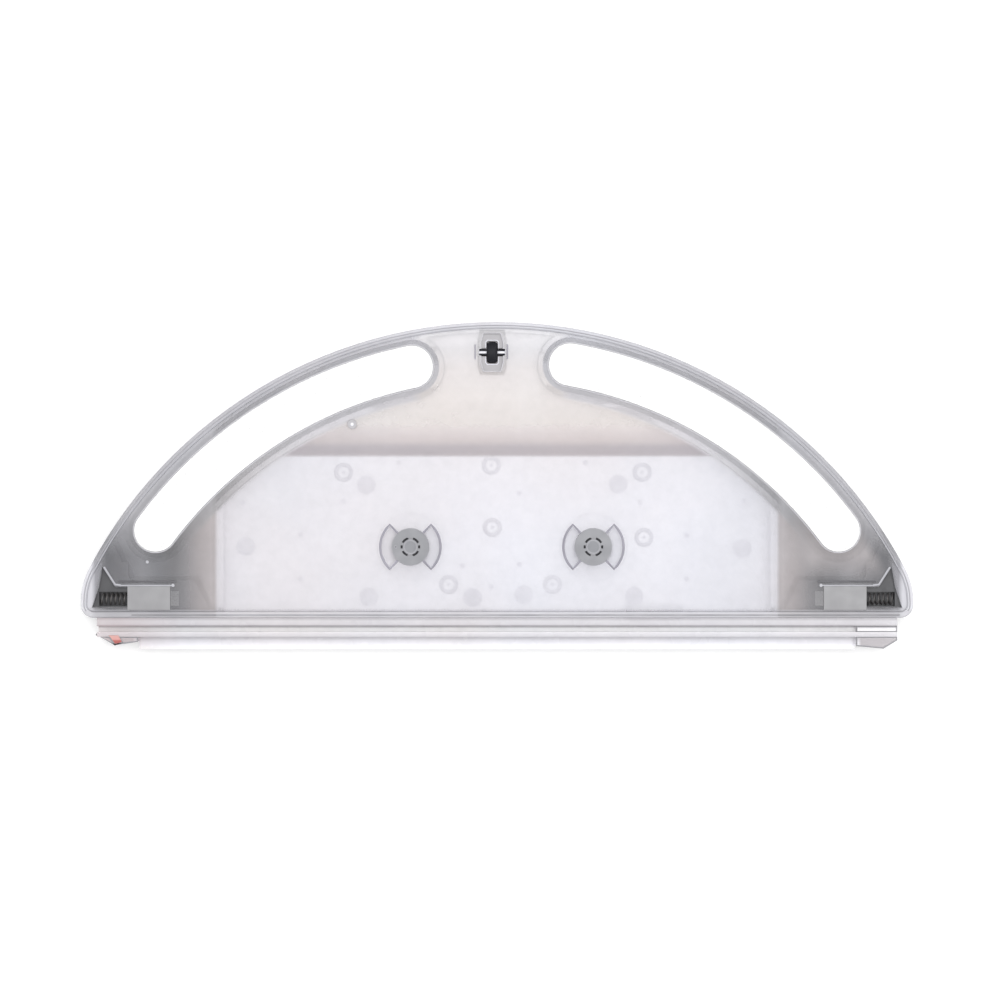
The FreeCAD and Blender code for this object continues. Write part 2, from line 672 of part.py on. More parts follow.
def make_tray_shell():
    """Moulded tray: rim, wings, deep chamber with ramp, and the walls of the dry pockets."""
    wings = slab("tray_wings", "Layout.wing_level", f"({UNDERSIDE} - Layout.wing_level)",
                 lambda sketch: tank_outline(sketch, "0"))
    deep = chamber_solid("tray_deep", "0", WING_FLOOR)
    outside = fuse("tray_outside", [wings, rounded_chamber(deep)])

    walls = []
    pad_rooms = []
    latch_rooms = []
    room_height = f"({PLATE_SEAT} - {WING_FLOOR})"
    for side, sign in SIDES.items():
        walls.append(slab(
            f"tray_pad_wall_{side}", WING_FLOOR, room_height,
            lambda sketch: pad_outline(sketch, side, "(Sizes.pad_border + Sizes.wall)")))
        walls.append(slab(
            f"tray_latch_wall_{side}", WING_FLOOR, room_height,
            lambda sketch: dry_pocket_outline(sketch, sign, "Sizes.dry_wall")))
        pad_rooms.append(slab(
            f"tray_pad_room_{side}", WING_FLOOR, room_height,
            lambda sketch: pad_outline(sketch, side, "(Sizes.pad_border + Sizes.seam_gap)")))
        latch_rooms.append(slab(
            f"tray_latch_room_{side}", WING_FLOOR, room_height,
            lambda sketch: dry_pocket_outline(sketch, sign, "0")))
    wet = cut("tray_wet_room", inner_space("tray_inner_space"), walls)
    dry = common("tray_dry_room", inner_space("tray_dry_space"),
                 fuse("tray_latch_rooms", latch_rooms))
    deep_room = chamber_solid("tray_deep_room", "Sizes.wall", PLATE_SEAT)
    seat = slab("tray_plate_seat", PLATE_SEAT, "Sizes.plate",
                lambda sketch: tank_outline(sketch, RIM_INSET))
    roller_room = slab(
        "tray_roller_room", WING_FLOOR, room_height,
        lambda sketch: roller_pocket(sketch, "(Sizes.roller_wall + Sizes.seam_gap)"))
    hollow = cut("tray_hollow", outside,
                 [wet, dry, deep_room, seat, roller_room] + pad_rooms)

    openings = [fill_port()]
    for side, sign in SIDES.items():
        openings.append(button_opening(side, sign))
        openings.append(hook_slot(side, sign))
    opened = cut("tray_opened", hollow, openings)

    rim = size(UNDERSIDE)
    rim_edges = edges_where(
        opened.Shape, lambda edge: is_level(edge, rim) and on_outline(edge))
    shell = round_edges("tray_shell", opened, rim_edges, "Sizes.rim_round")
    shell.Label = "tray_shell"
    return place(shell)


def on_outline(edge):
    """True for an edge of the tank's outermost outline, rather than of a wall inside it."""
    slack = 1e-3
    points = edge.discretize(3)
    return all(
        abs(point.y - size("Sizes.front_face")) < slack
        or abs(abs(point.x) - size("Layout.half_width")) < slack
        or abs(math.hypot(point.x, point.y) - size("Sizes.outer_radius")) < slack
        or on_corner(point, "Sizes.side_radius", side_centre_y(), slack)
        or on_corner(point, "Sizes.corner_radius",
                     size("(Sizes.front_face + Sizes.corner_radius)"), slack)
        for point in points)


def on_corner(point, radius, centre_y, slack):
    """True for a point on a rounded corner of the outline."""
    centre_x = size(f"(Layout.half_width - {radius})")
    reach = math.hypot(abs(point.x) - centre_x, point.y - centre_y)
    return abs(reach - size(radius)) < slack


def rounded_chamber(deep):
    """Deep chamber with its lower edges rounded, as it leaves the mould."""
    doc.recompute()
    lower = edges_where(deep.Shape, lambda edge: is_level(edge, 0))
    return round_edges("tray_deep_rounded", deep, lower, "Sizes.chamber_edge_round")


def racetrack(sketch, length, height):
    """Upright oval of the filling hole: straight above and below, round at both ends."""
    half_height = size(height) / 2
    reach = size(length) / 2 - half_height
    middle = vector("Layout.fill_x", "Layout.fill_z")
    along = FreeCAD.Vector(reach, 0, 0)
    up = FreeCAD.Vector(0, half_height, 0)
    right = sketch.addGeometry(
        arc(middle + along, half_height, -math.pi / 2, math.pi / 2), False)
    upper = sketch.addGeometry(Part.LineSegment(middle + along + up, middle - along + up))
    left = sketch.addGeometry(
        arc(middle - along, half_height, math.pi / 2, 1.5 * math.pi), False)
    lower = sketch.addGeometry(Part.LineSegment(middle - along - up, middle + along - up))
    loop = [right, upper, left, lower]
    for number, piece in enumerate(loop):
        join(sketch, piece, 2, loop[(number + 1) % len(loop)], 1)
    bind(sketch, "Radius", right, to=f"({height} / 2)")
    for end, way in ((right, "+"), (left, "-")):
        bind(sketch, "DistanceX", -1, 1, end, 3,
             to=f"(Layout.fill_x {way} ({length} - {height}) / 2)")
        bind(sketch, "DistanceY", -1, 1, end, 3, to="Layout.fill_z")


def fill_port():
    """Oval filling hole through the chamber's front wall."""
    return slab("tray_fill_port", "Sizes.front_face", "(2 * (Sizes.wall + Sizes.cut_spare))",
                lambda sketch: racetrack(sketch, "Sizes.fill_length", "Layout.fill_height"),
                "XZ", both_ways=True)


def button_opening(side, sign):
    """Gap in the rim that the latch button looks out of."""
    low = f"(Sizes.front_face + {LEDGE_INSET})"
    width = f"(Layout.button_back + Sizes.latch_gap - {low})"
    start = "Layout.spring_seat_x" if sign > 0 else "(-Layout.half_width - Sizes.cut_spare)"
    length = "(Layout.half_width + Sizes.cut_spare - Layout.spring_seat_x)"
    return block(f"tray_button_opening_{side}", start, low, WING_FLOOR, length, width,
                 f"({PLATE_SEAT} - {WING_FLOOR})")


def hook_slot(side, sign):
    """Slot in the wing's floor that the hook reaches through and slides along."""
    inner = "(Layout.hook_inner - Sizes.latch_travel - Sizes.latch_gap)"
    outer = "(Layout.hook_inner + Sizes.hook_stem + Sizes.latch_gap)"
    start = inner if sign > 0 else f"(-{outer})"
    return block(f"tray_hook_slot_{side}", start,
                 "(Layout.latch_y - Sizes.hook_width / 2 - Sizes.latch_gap)",
                 "(Layout.wing_level - Sizes.cut_spare)", f"({outer} - {inner})",
                 "(Sizes.hook_width + 2 * Sizes.latch_gap)",
                 "(Sizes.wall + 2 * Sizes.cut_spare)")


# Underside shell


def window_outline(sketch, sign):
    """Plan of the window that shows the latch spring."""
    corners = [
        ("window_apex_x", "window_apex_y"),
        ("window_mid_x", "window_shelf_y"),
        ("window_front_x", "window_front_y"),
        ("window_inner_x", "window_front_y"),
        ("window_inner_x", "window_shelf_y"),
        ("window_elbow_x", "window_shelf_y"),
    ]
    polygon(sketch, [(f"({sign} * Layout.{x})", f"Layout.{y}") for x, y in corners])


def retainer_ends(sign, gap):
    """Lowest and highest X of a latch retainer, with a gap at its inner end."""
    inner = f"(Layout.window_inner_x - Sizes.retainer_length - {gap})"
    ends = (inner, "Layout.window_inner_x")
    return ends if sign > 0 else tuple(f"(-{end})" for end in reversed(ends))


def tab_ends(sign, gap):
    """Lowest and highest X of the tab that backs the latch spring."""
    ends = (f"(Layout.spring_seat_x - Sizes.retainer_tab - {gap})", "Layout.spring_seat_x")
    return ends if sign > 0 else tuple(f"(-{end})" for end in reversed(ends))


def make_base_shell():
    """Underside plate with its recesses, cups, housings and windows."""
    body = new_body("base_shell")
    outline = body_sketch(body, "base_outline", PLATE_SEAT)
    tank_outline(outline, f"({RIM_INSET} + Sizes.seam_gap)")
    bevel_plate(body, pad(body, outline, "Sizes.plate"))
    body_height = f"({PLATE_SEAT} - {WING_FLOOR})"
    for side in SIDES:
        border = body_sketch(body, f"base_pad_border_{side}", PLATE_SEAT)
        pad_outline(border, side, "Sizes.pad_border")
        pad(body, border, body_height, down=True)
    add_outlet_cups(body)
    add_roller_housing(body)
    for side in SIDES:
        hollow = body_sketch(body, f"base_pad_hollow_{side}", WING_FLOOR)
        pad_outline(hollow, side, "0")
        pocket(body, hollow, body_height, up=True)
        recess = body_sketch(body, f"base_pad_recess_{side}", UNDERSIDE)
        pad_outline(recess, side, "Sizes.pad_clearance")
        pocket(body, recess, "Sizes.pad_recess")
    cut_outlets(body)
    cut_roller_housing(body)
    for side, sign in SIDES.items():
        cut_latch_window(body, side, sign)
    cut_vent(body)
    return place(body)


def bevel_plate(body, plate):
    """Break the plate's outer edge, which leaves a fine groove between it and the rim."""
    doc.recompute()
    level = size(UNDERSIDE)
    bevel = body.newObject("PartDesign::Chamfer", "base_edge_bevel")
    bevel.Base = (plate, edges_where(body.Shape, lambda edge: is_level(edge, level)))
    bevel.setExpression("Size", "Sizes.plate_bevel")


def add_outlet_cups(body):
    for side in SIDES:
        cup = body_sketch(body, f"base_cup_{side}", OUTLET_CUP_BOTTOM)
        circle(cup, f"Sizes.outlet_{side}_x", "Layout.outlet_y", "Layout.outlet_cup_radius")
        pad(body, cup, f"({PLATE_SEAT} - {OUTLET_CUP_BOTTOM})")


def cut_outlets(body):
    """Finger recesses, the plug's seat and the bore of each outlet."""
    for side in SIDES:
        centre = f"Sizes.outlet_{side}_x"
        wings = body_sketch(body, f"base_finger_wings_{side}", UNDERSIDE)
        finger_sector(wings, centre, 1)
        finger_sector(wings, centre, -1)
        pocket(body, wings, "Sizes.finger_depth")
        seat = body_sketch(body, f"base_plug_seat_{side}", UNDERSIDE)
        circle(seat, centre, "Layout.outlet_y", "(Sizes.plug_head_radius + Sizes.seat_gap)")
        pocket(body, seat, "Sizes.finger_depth")
        bore = body_sketch(body, f"base_plug_bore_{side}", UNDERSIDE)
        circle(bore, centre, "Layout.outlet_y", "(Layout.plug_stem_radius + Sizes.plug_fit)")
        pocket(body, bore, f"({UNDERSIDE} - {OUTLET_CUP_BOTTOM} + Sizes.cut_spare)")


def roller_pocket(sketch, grow):
    """Plan of the roller's pocket, with its corners cut off, made larger by grow."""
    half_x = f"(Layout.roller_pocket_length / 2 + {grow})"
    half_y = f"(Layout.roller_pocket_width / 2 + {grow})"
    inner_x = f"({half_x} - Sizes.roller_corner_x)"
    inner_y = f"({half_y} - Sizes.roller_corner_y)"
    around = [(half_x, inner_y), (inner_x, half_y), (f"(-{inner_x})", half_y),
              (f"(-{half_x})", inner_y), (f"(-{half_x})", f"(-{inner_y})"),
              (f"(-{inner_x})", f"(-{half_y})"), (inner_x, f"(-{half_y})"),
              (half_x, f"(-{inner_y})")]
    polygon(sketch, [(f"(Sizes.roller_x + {x})", f"(Layout.roller_y + {y})")
                     for x, y in around])


def add_roller_housing(body):
    housing = body_sketch(body, "base_roller_housing", PLATE_SEAT)
    roller_pocket(housing, "Sizes.roller_wall")
    pad(body, housing, f"({PLATE_SEAT} - {WING_FLOOR})", down=True)


def cut_roller_housing(body):
    """Open the roller's pocket and the two snap slots that hold its axle."""
    opening = body_sketch(body, "base_roller_pocket", UNDERSIDE)
    roller_pocket(opening, "0")
    pocket(body, opening)
    slot = body_sketch(body, "base_axle_slot", "Sizes.roller_x", "YZ")
    snap = "(Sizes.axle_radius - Sizes.axle_snap)"
    rectangle(slot, f"(Layout.roller_y - {snap})", f"(Layout.roller_y + {snap})",
              ROLLER_Z, f"({UNDERSIDE} + Sizes.cut_spare)")
    pocket(body, slot, "Layout.axle_length", both_ways=True)
    cradle = body_sketch(body, "base_axle_cradle", "Sizes.roller_x", "YZ")
    circle(cradle, "Layout.roller_y", ROLLER_Z, "Sizes.axle_radius")
    pocket(body, cradle, "Layout.axle_length", both_ways=True)


def cut_latch_window(body, side, sign):
    """Window, retainer seat and tab slot over one latch."""
    window = body_sketch(body, f"base_window_{side}", UNDERSIDE)
    window_outline(window, sign)
    pocket(body, window, "Sizes.plate")
    seat = body_sketch(body, f"base_retainer_seat_{side}", UNDERSIDE)
    low, high = retainer_ends(sign, "Sizes.retainer_gap")
    rectangle(seat, low, high, "(Layout.retainer_front_y - Sizes.retainer_gap)",
              "(Layout.retainer_back_y + Sizes.retainer_gap)")
    pocket(body, seat, "(Sizes.retainer_thickness + Sizes.retainer_sink)")
    slot = body_sketch(body, f"base_tab_slot_{side}", UNDERSIDE)
    low, high = tab_ends(sign, "Sizes.retainer_gap")
    half = "(Sizes.retainer_tab_width / 2 + Sizes.retainer_gap)"
    rectangle(slot, low, high, f"(Layout.latch_y - {half})", f"(Layout.latch_y + {half})")
    pocket(body, slot, "Sizes.plate")


def cut_vent(body):
    """Hole for the air valve's stem, and the recess that its head is sunk in."""
    recess = body_sketch(body, "base_vent_recess", UNDERSIDE)
    circle(recess, "Sizes.vent_x", "Layout.vent_y",
           "(Sizes.vent_head_radius + Sizes.vent_clearance)")
    pocket(body, recess, "Layout.vent_recess")
    hole = body_sketch(body, "base_vent_hole", UNDERSIDE)
    circle(hole, "Sizes.vent_x", "Layout.vent_y", "Sizes.vent_stem_radius")
    pocket(body, hole, "Sizes.plate")


# Pieces on the underside


def make_hook_pad(side):
    """Curved pad of hook tape, glued in its recess."""
    body = new_body(f"hook_pad_{side}")
    outline = body_sketch(body, f"hook_outline_{side}", f"({UNDERSIDE} - Sizes.pad_recess)")
    pad_outline(outline, side, "0")
    pad(body, outline, "Sizes.pad_thickness")
    return place(body)


def make_vent_valve():
    """Soft valve: flat head outside, thin stem through the plate, bulb inside."""
    body = new_body("vent_valve")
    profile = body_sketch(body, "vent_profile", plane="XZ")
    plate_under = "(Layout.vent_recess - Sizes.plate)"
    polygon(profile, [
        ("0", "Sizes.vent_head_thickness"),
        ("Sizes.vent_head_radius", "Sizes.vent_head_thickness"),
        ("Sizes.vent_head_radius", "0"),
        ("Sizes.vent_stem_radius", "0"),
        ("Sizes.vent_stem_radius", plate_under),
        ("Sizes.vent_bulb_radius", plate_under),
        ("(Sizes.vent_stem_radius / 2)", f"({plate_under} - Sizes.vent_bulb_length)"),
        ("0", f"({plate_under} - Sizes.vent_bulb_length)"),
    ])
    revolve(body, profile)
    return place(body, "Sizes.vent_x", f"(Layout.vent_y + {ARC_CENTRE_Y})",
                 f"({UNDERSIDE} - Layout.vent_recess)")


def revolve(body, sketch):
    """Turn a profile a whole turn about the body's upright axis."""
    feature = body.newObject("PartDesign::Revolution", f"{sketch.Name}_turned")
    feature.Profile = sketch
    feature.ReferenceAxis = (sketch, ["V_Axis"])
    feature.Angle = 360
    sketch.Visibility = False
    return feature


def place_in_outlet(body, side):
    return place(body, f"Sizes.outlet_{side}_x", f"(Layout.outlet_y + {ARC_CENTRE_Y})",
                 f"({OUTLET_FLOOR} + Sizes.seat_gap)")


PLUG_TOP = "(Sizes.finger_depth - Sizes.plug_head_sink - Sizes.seat_gap)"
PLUG_ROOM = "(Layout.plug_stem_radius - Sizes.plug_wall)"
SEAL_TOP = "(-Sizes.seal_height)"
SEAL_BOTTOM = "(-Sizes.seal_height - Sizes.seal_section)"
SEAL_FLOOR = "(Layout.plug_stem_radius - Sizes.seal_section)"


def make_outlet_plug(side):
    """Pull-out plug: flat head with a ring of slots over a hollow stem, with a seal groove."""
    body = new_body(f"outlet_plug_{side}")
    profile = body_sketch(body, f"plug_profile_{side}", plane="XZ")
    roof = f"({PLUG_TOP} - Sizes.plug_roof)"
    polygon(profile, [
        ("0", PLUG_TOP),
        ("Sizes.plug_head_radius", PLUG_TOP),
        ("Sizes.plug_head_radius", "0"),
        ("Layout.plug_stem_radius", "0"),
        ("Layout.plug_stem_radius", SEAL_TOP),
        (SEAL_FLOOR, SEAL_TOP),
        (SEAL_FLOOR, SEAL_BOTTOM),
        ("Layout.plug_stem_radius", SEAL_BOTTOM),
        ("Layout.plug_stem_radius", "(-Sizes.plug_stem_length)"),
        (PLUG_ROOM, "(-Sizes.plug_stem_length)"),
        (PLUG_ROOM, roof),
        ("0", roof),
    ])
    revolve(body, profile)
    for number, (start, end) in enumerate(slot_bearings(), start=1):
        slots = body_sketch(body, f"plug_slot_{side}_{number}", PLUG_TOP)
        curved_slot(slots, start, end)
        pocket(body, slots, "Sizes.plug_roof")
    if side == "left":
        mark = body_sketch(body, "plug_gate_mark", PLUG_TOP)
        circle(mark, "(-Sizes.gate_mark_offset)", "0", "Sizes.gate_mark_radius")
        pocket(body, mark, "Sizes.gate_mark_depth")
    return place_in_outlet(body, side)


def slot_bearings():
    """Bearings in degrees where each slot starts and ends: a short one at each side, and a
    long one above and below each of them."""
    near = "Sizes.slot_lead"
    far = "(Sizes.slot_lead + Sizes.slot_sweep)"
    half_short = "(Sizes.short_slot_sweep / 2)"
    return [
        (near, far),
        (f"(180 - {far})", f"(180 - {near})"),
        (f"(180 + {near})", f"(180 + {far})"),
        (f"(360 - {far})", f"(360 - {near})"),
        (f"(-{half_short})", half_short),
        (f"(180 - {half_short})", f"(180 + {half_short})"),
    ]


def curved_slot(sketch, start, end):
    """Slot that follows the ring of slots between two bearings, with square ends."""
    origin = FreeCAD.Vector(0, 0, 0)
    middle = size("Sizes.slot_ring_radius")
    half = size("Sizes.slot_width") / 2
    first, last = math.radians(size(start)), math.radians(size(end))
    rays = [FreeCAD.Vector(math.cos(turn), math.sin(turn), 0) for turn in (first, last)]
    outer = sketch.addGeometry(arc(origin, middle + half, first, last), False)
    closing = sketch.addGeometry(
        Part.LineSegment(rays[1] * (middle + half), rays[1] * (middle - half)), False)
    inner = sketch.addGeometry(arc(origin, middle - half, first, last), False)
    opening = sketch.addGeometry(
        Part.LineSegment(rays[0] * (middle - half), rays[0] * (middle + half)), False)
    meet = Sketcher.Constraint
    sketch.addConstraint(meet("Coincident", outer, 2, closing, 1))
    sketch.addConstraint(meet("Coincident", closing, 2, inner, 2))
    sketch.addConstraint(meet("Coincident", inner, 1, opening, 1))
    sketch.addConstraint(meet("Coincident", opening, 2, outer, 1))
    for piece, way in ((outer, "+"), (inner, "-")):
        sketch.addConstraint(meet("Coincident", piece, 3, -1, 1))
        radius = f"(Sizes.slot_ring_radius {way} Sizes.slot_width / 2)"
        bind(sketch, "Radius", piece, to=radius)
        for tip, bearing in ((1, start), (2, end)):
            bind(sketch, "DistanceY", -1, 1, piece, tip,
                 to=f"({radius} * sin({bearing} * 1 deg))")


def make_outlet_wick(side):
    """Felt core that lets water through slowly, held in the hollow stem."""
    body = new_body(f"outlet_wick_{side}")
    roof = f"({PLUG_TOP} - Sizes.plug_roof)"
    outline = body_sketch(body, f"wick_outline_{side}", "(-Sizes.plug_stem_length)")
    circle(outline, "0", "0", f"({PLUG_ROOM} - Sizes.wick_gap)")
    pad(body, outline, f"({roof} + Sizes.plug_stem_length)")
    return place_in_outlet(body, side)


def make_outlet_seal(side):
    """Sealing ring of square section in the groove of the plug's stem."""
    body = new_body(f"outlet_seal_{side}")
    profile = body_sketch(body, f"seal_profile_{side}", plane="XZ")
    rectangle(profile, SEAL_FLOOR, "Layout.plug_stem_radius", SEAL_BOTTOM, SEAL_TOP)
    revolve(body, profile)
    return place_in_outlet(body, side)


def make_roller():
    """Small wheel with bevelled edges, which turns on a steel pin."""
    body = new_body("roller")
    section = body_sketch(body, "roller_section", plane="YZ")
    circle(section, "0", "0", "Layout.roller_radius")
    rim = pad(body, section, "Sizes.roller_width", both_ways=True)
    doc.recompute()
    bevel = body.newObject("PartDesign::Chamfer", "roller_edge_bevel")
    bevel.Base = (rim, edges_where(body.Shape, lambda edge: len(edge.Vertexes) == 1))
    bevel.setExpression("Size", "Sizes.roller_bevel")
    bore = body_sketch(body, "roller_bore", plane="YZ")
    circle(bore, "0", "0", "(Sizes.axle_radius + Sizes.roller_fit)")
    pocket(body, bore, "(2 * Sizes.roller_width)", both_ways=True)
    return place(body, "Sizes.roller_x", f"(Layout.roller_y + {ARC_CENTRE_Y})", ROLLER_Z)


def make_roller_axle():
    body = new_body("roller_axle")
    section = body_sketch(body, "axle_section", plane="YZ")
    circle(section, "0", "0", "Sizes.axle_radius")
    pad(body, section, "Layout.axle_length", both_ways=True)
    return place(body, "Sizes.roller_x", f"(Layout.roller_y + {ARC_CENTRE_Y})", ROLLER_Z)


# Latches


def make_latch_button(side, sign):
    """Finger pad that follows the tank's outline, a little inside it."""
    bar = slab(f"button_outline_{side}", CARRIAGE_BOTTOM, "Layout.carriage_thickness",
               lambda sketch: tank_outline(sketch, "Sizes.latch_gap"))
    outer = "(Layout.half_width + Sizes.cut_spare)"
    corners = [("Layout.head_front_x", "Layout.carriage_front"),
               (outer, "Layout.carriage_front"),
               (outer, "Layout.button_back"),
               ("Layout.head_back_x", "Layout.button_back")]
    span = slab(f"button_span_{side}", CARRIAGE_BOTTOM, "Layout.carriage_thickness",
                lambda sketch: polygon(sketch, [(f"({sign} * {x})", y) for x, y in corners]))
    button = common(f"latch_button_{side}", bar, span)
    button.Label = f"latch_button_{side}"
    return place(button)


def make_latch_slider(side, sign):
    """Carriage behind the button: spring trough, side arm and the hook below."""
    body = new_body(f"latch_slider_{side}")
    plan = body_sketch(body, f"slider_plan_{side}", CARRIAGE_BOTTOM)
    corners = [
        ("Layout.head_front_x", "Layout.carriage_front"),
        ("Layout.head_edge_x", "(Layout.button_back - Sizes.latch_gap)"),
        ("Layout.carriage_arm_x", "(Layout.button_back - Sizes.latch_gap)"),
        ("Layout.carriage_elbow_x", "Layout.carriage_back"),
        ("Layout.carriage_inner", "Layout.carriage_back"),
        ("Layout.carriage_inner", "Layout.carriage_front"),
    ]
    polygon(plan, [(f"({sign} * {x})", y) for x, y in corners])
    pad(body, plan, "Layout.carriage_thickness")
    hook = body_sketch(body, f"slider_hook_{side}", "(-Layout.latch_y)", "XZ")
    stem = "(Layout.hook_inner + Sizes.hook_stem)"
    bottom = "(Layout.wing_level - Sizes.hook_drop)"
    barb_low = f"({bottom} + Sizes.hook_slope)"
    barb_top = f"({barb_low} + Sizes.barb_height)"
    outline = [
        ("Layout.hook_inner", CARRIAGE_BOTTOM),
        ("Layout.hook_inner", bottom),
        (stem, bottom),
        (f"({stem} + Sizes.hook_barb)", barb_low),
        (f"({stem} + Sizes.hook_barb)", barb_top),
        (stem, barb_top),
        (stem, CARRIAGE_BOTTOM),
    ]
    polygon(hook, [(f"({sign} * {x})", z) for x, z in outline])
    pad(body, hook, "Sizes.hook_width", both_ways=True)
    trough = body_sketch(body, f"slider_trough_{side}", CARRIAGE_TOP)
    ends = ("Layout.spring_slot_end", "Layout.latch_head_inner")
    low, high = ends if sign > 0 else tuple(f"(-{end})" for end in reversed(ends))
    half = "(Sizes.spring_slot_width / 2)"
    rectangle(trough, low, high, f"(Layout.latch_y - {half})", f"(Layout.latch_y + {half})")
    pocket(body, trough, "(Layout.carriage_thickness - Sizes.carriage_floor)")
    return place(body)


def make_latch_retainer(side, sign):
    """Grey plate that closes the latch, with the tab that backs the spring."""
    body = new_body(f"latch_retainer_{side}")
    bottom = f"({UNDERSIDE} - Sizes.retainer_sink - Sizes.retainer_thickness)"
    plate = body_sketch(body, f"retainer_plate_{side}", bottom)
    low, high = retainer_ends(sign, "0")
    rectangle(plate, low, high, "Layout.retainer_front_y", "Layout.retainer_back_y")
    pad(body, plate, "Sizes.retainer_thickness")
    tab = body_sketch(body, f"retainer_tab_{side}", bottom)
    low, high = tab_ends(sign, "0")
    half = "(Sizes.retainer_tab_width / 2)"
    rectangle(tab, low, high, f"(Layout.latch_y - {half})", f"(Layout.latch_y + {half})")
    trough_floor = f"({CARRIAGE_BOTTOM} + Sizes.carriage_floor)"
    pad(body, tab, f"({bottom} - {trough_floor} - Sizes.latch_gap)", down=True)
    return place(body)


def make_latch_spring(side, sign):
    """Coil spring between the retainer's tab and the back of the button."""
    wire = size("Sizes.spring_wire_radius")
    coil = size("Sizes.spring_mean_radius")
    start = size("Layout.spring_seat_x") + wire
    length = size("Layout.latch_head_inner") - wire - start
    pieces = round(size("Sizes.spring_turns") * SPRING_PIECES_PER_TURN)
    bearings = [2 * math.pi * piece / SPRING_PIECES_PER_TURN for piece in range(pieces + 1)]
    spine = Part.makePolygon([
        FreeCAD.Vector(coil * math.cos(turn), coil * math.sin(turn), length * piece / pieces)
        for piece, turn in enumerate(bearings)])
    flats = range(SPRING_WIRE_FLATS + 1)
    turns = [2 * math.pi * flat / SPRING_WIRE_FLATS for flat in flats]
    profile = Part.makePolygon([
        FreeCAD.Vector(coil + wire * math.cos(turn), 0, wire * math.sin(turn))
        for turn in turns])
    coiled = spine.makePipeShell([profile], True, False, 1)
    spring = doc.addObject("Part::Feature", f"latch_spring_{side}")
    spring.Shape = coiled
    spring.Label = f"latch_spring_{side}"
    turned = FreeCAD.Rotation(FreeCAD.Vector(0, 1, 0), sign * 90)
    corner = FreeCAD.Vector(sign * start, size("Layout.latch_y") + size(ARC_CENTRE_Y),
                            size(SPRING_Z))
    spring.Placement = FreeCAD.Placement(corner, turned)
    return spring


# Cloth rail and its marker


def make_cloth_rail():
    """Clear channel along the front edge, with a guide at its open end and a stop at the other."""
    body = new_body("cloth_rail")
    section = body_sketch(body, "rail_section", plane="YZ")
    flange = "(Sizes.front_face - Sizes.rail_flange)"
    spare = "((Sizes.rail_bead_width - Sizes.rail_slot) / 2)"
    bead = "(Layout.rail_slot_floor + Sizes.rail_bead_height)"
    polygon(section, [
        ("Sizes.front_face", "Layout.rail_bottom"),
        ("Sizes.front_face", "Layout.rail_top"),
        (flange, "Layout.rail_top"),
        (flange, bead),
        (f"({flange} + {spare})", bead),
        (f"({flange} + {spare})", "Layout.rail_slot_floor"),
        (f"(Layout.lip_back - {spare})", "Layout.rail_slot_floor"),
        (f"(Layout.lip_back - {spare})", bead),
        ("Layout.lip_back", bead),
        ("Layout.lip_back", "Layout.rail_top"),
        ("Layout.lip_front", "Layout.rail_top"),
        ("Layout.lip_front", "Layout.rail_bottom"),
    ])
    pad(body, section, "(2 * Layout.rail_half_length)", both_ways=True)
    shelf = body_sketch(body, "rail_shelf", plane="YZ")
    rectangle(shelf, "Layout.rail_front", "Layout.lip_back", "Layout.rail_bottom",
              "(Layout.rail_bottom + Sizes.rail_shelf)")
    pad(body, shelf, "(2 * Layout.guide_inner)", both_ways=True)
    guide = body_sketch(body, "rail_guide", "Layout.rail_bottom")
    guide_plan(guide)
    pad(body, guide, "(Layout.guide_top - Layout.rail_bottom)")
    stop = body_sketch(body, "rail_stop", "Layout.rail_bottom")
    stop_plan(stop)
    pad(body, stop, "(Layout.guide_top - Layout.rail_bottom)")
    marker = body_sketch(body, "rail_marker_seat", "Layout.rail_top")
    marker_outline(marker)
    pocket(body, marker, "(Layout.rail_top - Layout.guide_top + Sizes.marker_depth)")
    return place(body)


def guide_plan(sketch):
    """Pointed guide that leads the cloth's strip into the slot's open end."""
    lip_middle = "(Layout.lip_front + Sizes.rail_lip / 2)"
    polygon(sketch, [
        ("(-Layout.rail_half_length - Sizes.guide_point)", lip_middle),
        ("(-Layout.rail_half_length + Sizes.guide_slant)",
         "(Layout.rail_front + Sizes.guide_nose)"),
        ("(-Layout.guide_inner)", "(Layout.rail_front + Sizes.guide_heel)"),
        ("(-Layout.guide_inner)", lip_middle),
    ])


def stop_plan(sketch):
    """Solid end that fills the slot and stops the strip."""
    polygon(sketch, [
        ("Layout.guide_inner", "(Layout.rail_front + Sizes.stop_heel)"),
        ("(Layout.rail_half_length - Sizes.stop_slant)", "(Layout.rail_front + Sizes.stop_nose)"),
        ("Layout.rail_half_length", "(Layout.rail_front + Sizes.stop_tip)"),
        ("Layout.rail_half_length", "(Sizes.front_face - Sizes.rail_flange / 2)"),
        ("Layout.guide_inner", "(Sizes.front_face - Sizes.rail_flange / 2)"),
    ])


def marker_outline(sketch):
    """Pointed plan of the marker."""
    half = "(Sizes.marker_length / 2)"
    wide = "(Sizes.marker_width / 2)"
    polygon(sketch, [
        (f"(Layout.marker_x - {half})", f"(Layout.marker_y + {wide})"),
        ("Layout.marker_x", f"(Layout.marker_y - {wide})"),
        (f"(Layout.marker_x + {half})", f"(Layout.marker_y - {wide} / 2)"),
        (f"(Layout.marker_x + {half} / 2)", f"(Layout.marker_y + {wide})"),
    ])


def make_rail_marker():
    """Red insert that shows which end the cloth goes in."""
    body = new_body("rail_marker")
    plan = body_sketch(body, "marker_plan", "(Layout.guide_top - Sizes.marker_depth)")
    marker_outline(plan)
    pad(body, plan, "Sizes.marker_depth")
    return place(body)


# Filling bung


